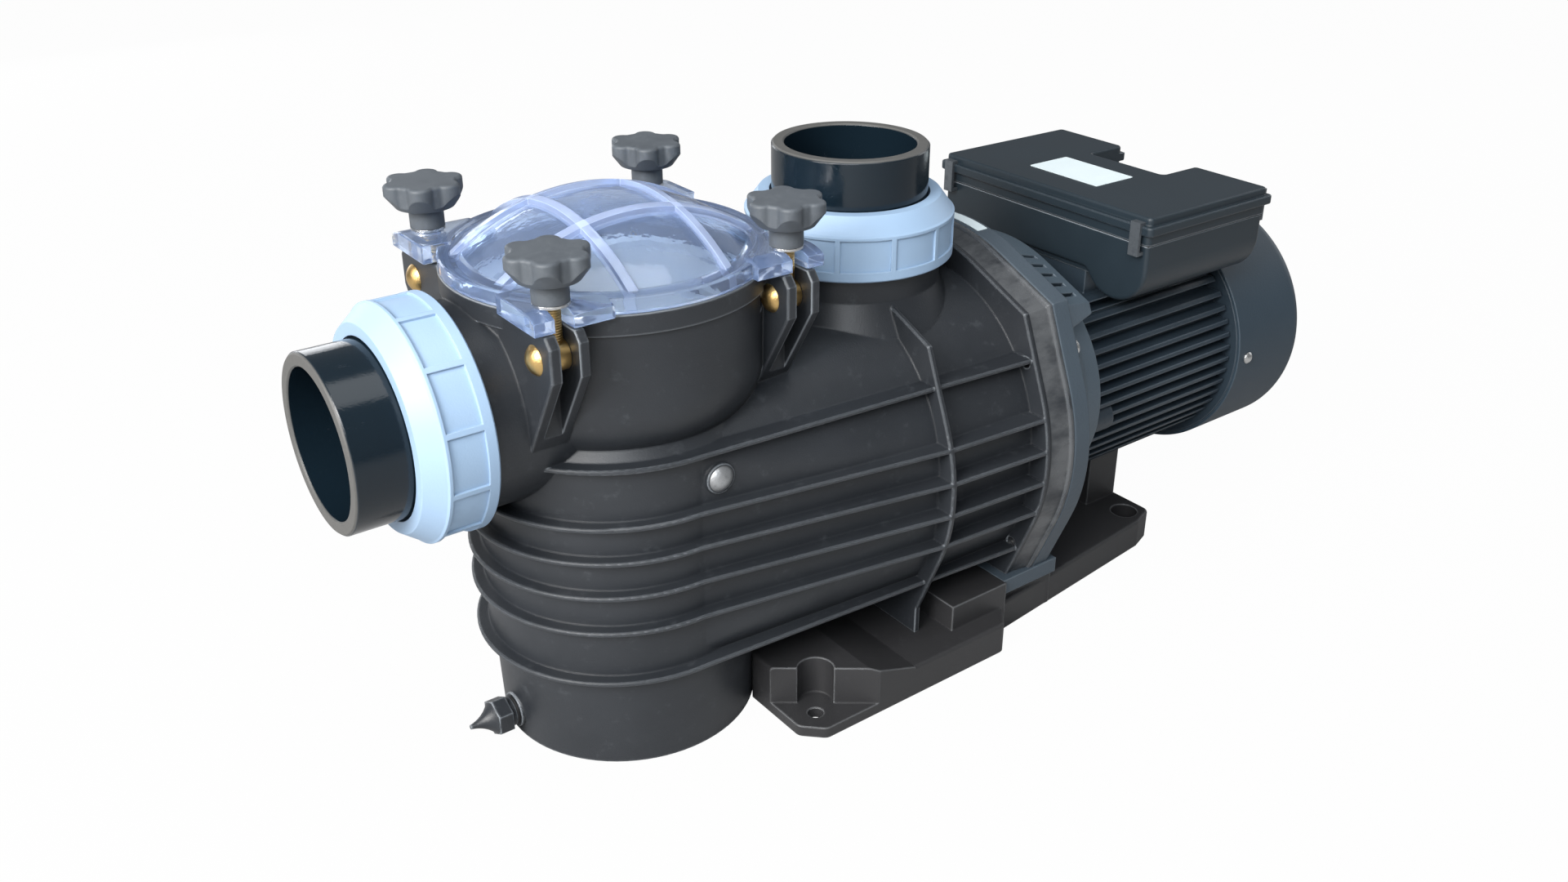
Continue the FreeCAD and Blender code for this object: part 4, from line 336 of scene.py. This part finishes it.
def makeKnobPlastic(look):
    finish = Finish("knobPlastic")
    soft, edge = finish.round(look["round"])
    rub = finish.step(finish.noise(*look["rub"]), *look["rubSpan"])
    colour = finish.mix(finish.noise(*look["cloud"]), look["deep"], look["pale"])
    # painted highlight on the convex edges, with rubbed spots of wear
    colour = finish.mix(edge * look["edgeShare"] + rub * look["rubShare"], colour, look["edge"])
    finish.set(Base_Color=colour, Roughness=look["rough"] + rub * look["rubRough"],
               Normal=finish.bump(finish.noise(*look["grain"]), look["grainDepth"], soft))
    return finish.material


corners = ("front_left", "front_right", "rear_left", "rear_right")
wear(makeKnobPlastic(knobPlastic), *[f"lid_knob_{corner}" for corner in corners])
print("lid and knobs done")


# metals: "lines" are turning marks, threads, stacked sheets or windings along an axis
metal = {
    "metallic": 1.0, "round": 0.0004, "cloud": (0.006, 4, 0.65), "spotSpan": (0.45, 0.75), "spotShare": 0.7,
    "spotRough": 0.22, "grain": (0.0008, 2), "grainLeft": 0.3, "depth": 0.0002,
}
brass = dict(metal, colour=(0.62, 0.42, 0.17), tarnish=(0.46, 0.30, 0.11), rough=0.30)
steel = dict(metal, colour=(0.66, 0.66, 0.65), tarnish=(0.36, 0.35, 0.34), rough=0.26)
threads = {"axis": "Z", "pitch": 0.0015, "share": 1.2, "above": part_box("pivot_pins")[1].z}
metalLooks = {
    "brass": dict(brass, on=("pivot_pins",)),
    "threadedBrass": dict(brass, lines=threads, on=[f"swing_bolt_{corner}" for corner in corners]),
    "steel": dict(steel, on=(
        "foot_screws", "flange_bolts", "cowl_screws", "tie_rods", "shaft_seal_head", "front_bearing",
        "rear_bearing", *[f"knob_washer_{corner}" for corner in corners])),
    "turnedSteel": dict(steel, lines={"axis": "X", "pitch": 0.0012, "share": 0.15}, on=("motor_shaft",)),
    "dullZinc": dict(metal, colour=(0.42, 0.43, 0.44), tarnish=(0.20, 0.205, 0.21), rough=0.44, metallic=0.85,
                     on=("side_screw",)),
    "clipSteel": dict(metal, colour=(0.13, 0.145, 0.16), tarnish=(0.06, 0.07, 0.08), rough=0.34, metallic=0.6,
                      on=("box_lid_clips",)),
    "laminations": dict(metal, colour=(0.30, 0.30, 0.31), tarnish=(0.16, 0.15, 0.15), rough=0.38,
                        metallic=0.9, lines={"axis": "X", "pitch": 0.0011, "share": 0.9},
                        on=("stator_core", "rotor_core")),
    "copperWire": dict(metal, colour=(0.62, 0.26, 0.13), tarnish=(0.34, 0.12, 0.06), rough=0.34, metallic=0.9,
                       lines={"axis": "X", "pitch": 0.0022, "share": 1.5}, on=("stator_windings",)),
}


def makeMetal(name, look):
    finish = Finish(name)
    soft = finish.round(look["round"])[0]
    spots = finish.step(finish.noise(*look["cloud"]), *look["spotSpan"])
    height = finish.noise(*look["grain"])
    lines = look.get("lines")
    if lines:
        along = finish.along(lines["axis"])
        turn = along * (2 * math.pi / lines["pitch"])
        wave = finish.add("ShaderNodeMath", {"operation": "SINE"}, {0: turn})
        if "above" in lines:
            wave = wave * (along > lines["above"])
        height = height * look["grainLeft"] + wave * lines["share"]
    finish.set(Base_Color=finish.mix(spots * look["spotShare"], look["colour"], look["tarnish"]),
               Metallic=look["metallic"], Roughness=look["rough"] + spots * look["spotRough"],
               Normal=finish.bump(height, look["depth"], soft))
    return finish.material


for name, look in metalLooks.items():
    wear(makeMetal(name, look), *look["on"])
print("metals done")


# paint on the motor's castings and cowl, and the terminal box's plastic; lighter along convex edges as a
# painted highlight (strongest on the box), with chips of wear on the edges
motorPaint = {
    "deep": (0.017, 0.027, 0.038), "pale": (0.028, 0.043, 0.058), "edge": (0.16, 0.20, 0.24),
    "chip": (0.30, 0.31, 0.32), "round": 0.0018, "cloud": (0.07, 3, 0.6), "edgeShare": 0.35, "edgeCloud": 0.4,
    "chips": (0.006, 6, 0.8), "chipSpan": (0.66, 0.72), "chipShare": 0.8, "rough": 0.38, "cloudRough": 0.12,
    "cast": (0.0028, 2, 0.5), "castDepth": 0.00025, "on": ("motor_frame", "rear_end_shield"),
}
paintLooks = {
    "motorPaint": motorPaint,
    "bellPaint": dict(motorPaint, deep=(0.064, 0.092, 0.116), pale=(0.096, 0.130, 0.162),
                      edge=(0.26, 0.31, 0.36), rough=0.44, on=("front_end_shield",)),
    "cowlPaint": dict(motorPaint, deep=(0.019, 0.034, 0.049), pale=(0.029, 0.049, 0.069), rough=0.46,
                      cast=(0.0016, 2, 0.5), castDepth=0.00008, on=("fan_cowl",)),
    "flangePaint": dict(motorPaint, deep=(0.038, 0.054, 0.070), pale=(0.058, 0.079, 0.100),
                        edge=(0.20, 0.24, 0.28), rough=0.48, on=("motor_flange",)),
    "boxPlastic": dict(motorPaint, deep=(0.009, 0.016, 0.022), pale=(0.015, 0.025, 0.034),
                       edge=(0.58, 0.64, 0.70), rough=0.36, cast=(0.0011, 2, 0.5), castDepth=0.00006,
                       on=("terminal_box", "terminal_box_lid")),
}


def makePaint(name, look):
    finish = Finish(name)
    soft, edge = finish.round(look["round"])
    cloud = finish.noise(*look["cloud"])
    chips = finish.step(finish.noise(*look["chips"]), *look["chipSpan"])
    colour = finish.mix(cloud, look["deep"], look["pale"])
    # painted highlight along the convex edges
    colour = finish.mix(edge * (look["edgeShare"] + cloud * look["edgeCloud"]), colour, look["edge"])
    colour = finish.mix(chips * edge * look["chipShare"], colour, look["chip"])
    finish.set(Base_Color=colour, Roughness=look["rough"] + cloud * look["cloudRough"],
               Normal=finish.bump(finish.noise(*look["cast"]), look["castDepth"], soft))
    return finish.material


for name, look in paintLooks.items():
    wear(makePaint(name, look), *look["on"])
print("motor done")


# small inner parts
plain = {
    "round": 0.0006, "cloud": (0.02, 4, 0.6), "cloudRough": 0.1, "grain": (0.0012, 3), "grainDepth": 0.0001,
}
innerLooks = {
    "sealRubber": dict(plain, colour=(0.012, 0.012, 0.012), pale=(0.03, 0.03, 0.03), rough=0.62,
                       on=("lid_seal", "suction_union_seal", "discharge_union_seal", "drain_seal",
                           "body_seal", "box_gasket_seal")),
    "basketPlastic": dict(plain, colour=(0.74, 0.74, 0.70), pale=(0.84, 0.84, 0.80), rough=0.40,
                          on=("strainer_basket", "basket_handle")),
    "innerPlastic": dict(plain, colour=(0.045, 0.047, 0.05), pale=(0.08, 0.082, 0.085), rough=0.42,
                         on=("seal_plate", "diffuser", "impeller", "cooling_fan")),
    "glandPlastic": dict(plain, colour=(0.020, 0.021, 0.023), pale=(0.035, 0.036, 0.038), rough=0.45,
                         on=("cable_gland",)),
    "sealCeramic": dict(plain, colour=(0.80, 0.77, 0.70), pale=(0.86, 0.84, 0.78), rough=0.18,
                        on=("shaft_seal_seat",)),
    "capacitorCan": dict(plain, colour=(0.62, 0.63, 0.64), pale=(0.70, 0.71, 0.72), rough=0.35,
                         on=("capacitors",)),
    "terminalPlastic": dict(plain, colour=(0.66, 0.63, 0.55), pale=(0.74, 0.71, 0.62), rough=0.45,
                            on=("terminal_block",)),
}


def makePlain(name, look):
    finish = Finish(name)
    soft = finish.round(look["round"])[0]
    cloud = finish.noise(*look["cloud"])
    finish.set(Base_Color=finish.mix(cloud, look["colour"], look["pale"]),
               Roughness=look["rough"] + cloud * look["cloudRough"],
               Normal=finish.bump(finish.noise(*look["grain"]), look["grainDepth"], soft))
    return finish.material


for name, look in innerLooks.items():
    wear(makePlain(name, look), *look["on"])
print("inner parts done")


# blank stickers on the terminal box and the flange
sticker = dict(plain, colour=(0.66, 0.75, 0.78), pale=(0.72, 0.81, 0.83), rough=0.40, thick=0.00025,
               lift=0.00005, cornerSteps=6, strips=20)
boxSticker = {"centre": (0.4355, 0.006), "size": (0.043, 0.072), "corner": 0.002}
flangeSticker = {"centre": (0.294, -0.009), "size": (0.010, 0.041), "corner": 0.001}


# "bend" is the radius of the round face under the sticker, or nothing on a flat one
def makeSticker(name, look, top, paper, body, bend=None):
    mesh = bpy.data.meshes.new(name)
    shape = bmesh.new()
    (centreX, centreY), (sizeX, sizeY), corner = look["centre"], look["size"], look["corner"]
    halfX, halfY = sizeX / 2 - corner, sizeY / 2 - corner
    ring = []
    for quarter, (side, way) in enumerate(((1, 1), (-1, 1), (-1, -1), (1, -1))):
        for step in range(sticker["cornerSteps"] + 1):
            turn = math.pi / 2 * (quarter + step / sticker["cornerSteps"])
            ring.append((centreX + side * halfX + corner * math.cos(turn),
                         centreY + way * halfY + corner * math.sin(turn)))
    low = top + sticker["lift"]
    lower = [shape.verts.new((x, y, low)) for x, y in ring]
    upper = [shape.verts.new((x, y, low + sticker["thick"])) for x, y in ring]
    shape.faces.new(upper)
    shape.faces.new(lower[::-1])
    for index in range(len(ring)):
        after = (index + 1) % len(ring)
        shape.faces.new((lower[index], lower[after], upper[after], upper[index]))
    if bend:
        strips = sticker["strips"]
        for step in range(1, strips):
            cut = (0, centreY + sizeY * (step / strips - 0.5), 0)
            bmesh.ops.bisect_plane(shape, geom=shape.verts[:] + shape.edges[:] + shape.faces[:],
                                   plane_no=(0, 1, 0), plane_co=cut)
        for vertex in shape.verts:
            vertex.co.z -= bend - math.sqrt(bend ** 2 - vertex.co.y ** 2)
    shape.to_mesh(mesh)
    shape.free()
    piece = addObject(name, mesh)
    mesh.materials.append(paper)
    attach(piece, body)


stickerPaper = makePlain("stickerPaper", sticker)
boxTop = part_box("terminal_box_lid")[1].z
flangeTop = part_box("motor_flange")[1].z
shaftLow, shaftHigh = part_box("motor_shaft")
flangeRadius = flangeTop - (shaftLow.z + shaftHigh.z) / 2
makeSticker("boxSticker", boxSticker, boxTop, stickerPaper, "body")
makeSticker("flangeSticker", flangeSticker, flangeTop, stickerPaper, "body", flangeRadius)
print("stickers done")


# the floor and the backdrop are near white to the camera, and dimmer as light on the pump
room = {
    "floor": (0.42, 0.42, 0.42), "floorRough": 0.9, "floorSpecular": 0.1, "floorWhite": 0.975, "reach": 9.0,
    "sky": (0.93, 0.96, 1.0), "ambient": 0.24, "backdrop": 1.0,
}


def makeFloor(look):
    mesh = bpy.data.meshes.new("floor")
    reach = look["reach"]
    mesh.from_pydata([(-reach, -reach, 0), (reach, -reach, 0), (reach, reach, 0), (-reach, reach, 0)], [],
                     [(0, 1, 2, 3)])
    floor = addObject("floor", mesh)
    finish = Finish("floorPaint")
    finish.set(Base_Color=(*look["floor"], 1), Roughness=look["floorRough"],
               Specular_IOR_Level=look["floorSpecular"])
    seen = finish.add("ShaderNodeLightPath", out="Is Camera Ray")
    glow = finish.add("ShaderNodeEmission", None, {"Color": (1, 1, 1, 1), "Strength": 1.0})
    finish.cover(seen * look["floorWhite"], glow)
    mesh.materials.append(finish.material)


def makeWorld(look):
    scene.world = bpy.data.worlds.new("studio")
    studio = Tree(scene.world, "Background", "World Output")
    studio.set(Color=(*look["sky"], 1), Strength=look["ambient"])
    white = studio.add("ShaderNodeBackground", None, {"Color": (1, 1, 1, 1), "Strength": look["backdrop"]})
    seen = studio.add("ShaderNodeLightPath", out="Is Camera Ray")
    through = studio.add("ShaderNodeLightPath", out="Is Transmission Ray")
    studio.cover(seen.maths("MAXIMUM", seen, through), white)


# places and sizes are in metres, power in watts
lamps = {
    "key": {"place": (-2.75, -0.74, 1.95), "size": (2.0, 1.7), "power": 205, "colour": (1.0, 0.98, 0.96)},
    "top": {"place": (0.1, -0.3, 1.9), "size": (1.2, 1.0), "power": 9, "colour": (0.95, 0.98, 1.0)},
    "back": {"place": (2.4, -0.1, 0.9), "size": (1.2, 1.2), "power": 8, "colour": (0.95, 0.97, 1.0)},
    "far": {"place": (0.0, 2.4, 0.6), "size": (1.2, 1.0), "power": 12, "colour": (0.95, 0.97, 1.0)},
    "front": {"place": (-0.9, -1.3, 1.5), "size": (0.8, 0.8), "power": 20, "colour": (0.92, 0.96, 1.0)},
}


def makeLamp(name, look, target):
    light = bpy.data.lights.new(name, "AREA")
    light.shape = "RECTANGLE"
    light.size, light.size_y = look["size"]
    light.energy = look["power"]
    light.color = look["colour"]
    lamp = addObject(name, light)
    lamp.location = look["place"]
    lamp.rotation_euler = (Vector(target) - Vector(look["place"])).to_track_quat("-Z", "Y").to_euler()


# angles are in degrees, the lens and the sensor in millimetres
camera = {
    "target": (0.18038, 0, 0.15785), "distance": 1.03221, "azimuth": -38.818, "elevation": 25.974,
    "roll": 0.940, "lens": 32.18, "sensor": 36, "shiftX": -0.03096, "shiftY": -0.01628, "clipStart": 0.05,
}


def makeCamera(look):
    lens = bpy.data.cameras.new("camera")
    lens.sensor_width = look["sensor"]
    lens.lens = look["lens"]
    lens.shift_x, lens.shift_y = look["shiftX"], look["shiftY"]
    lens.clip_start = look["clipStart"]
    eye = addObject("camera", lens)
    azimuth, elevation, roll = [math.radians(look[key]) for key in ("azimuth", "elevation", "roll")]
    back = Vector((math.sin(azimuth) * math.cos(elevation), -math.cos(azimuth) * math.cos(elevation),
                   math.sin(elevation)))
    level = Vector((math.cos(azimuth), math.sin(azimuth), 0))
    rise = back.cross(level)
    right = level * math.cos(roll) + rise * math.sin(roll)
    up = back.cross(right)
    turn = Matrix((right, up, back)).transposed().to_4x4()
    turn.translation = Vector(look["target"]) + back * look["distance"]
    eye.matrix_world = turn
    scene.camera = eye


makeFloor(room)
makeWorld(room)
for name, look in lamps.items():
    makeLamp(name, look, camera["target"])
makeCamera(camera)
scene.view_settings.view_transform = "Standard"
print("room, lamps and camera done")
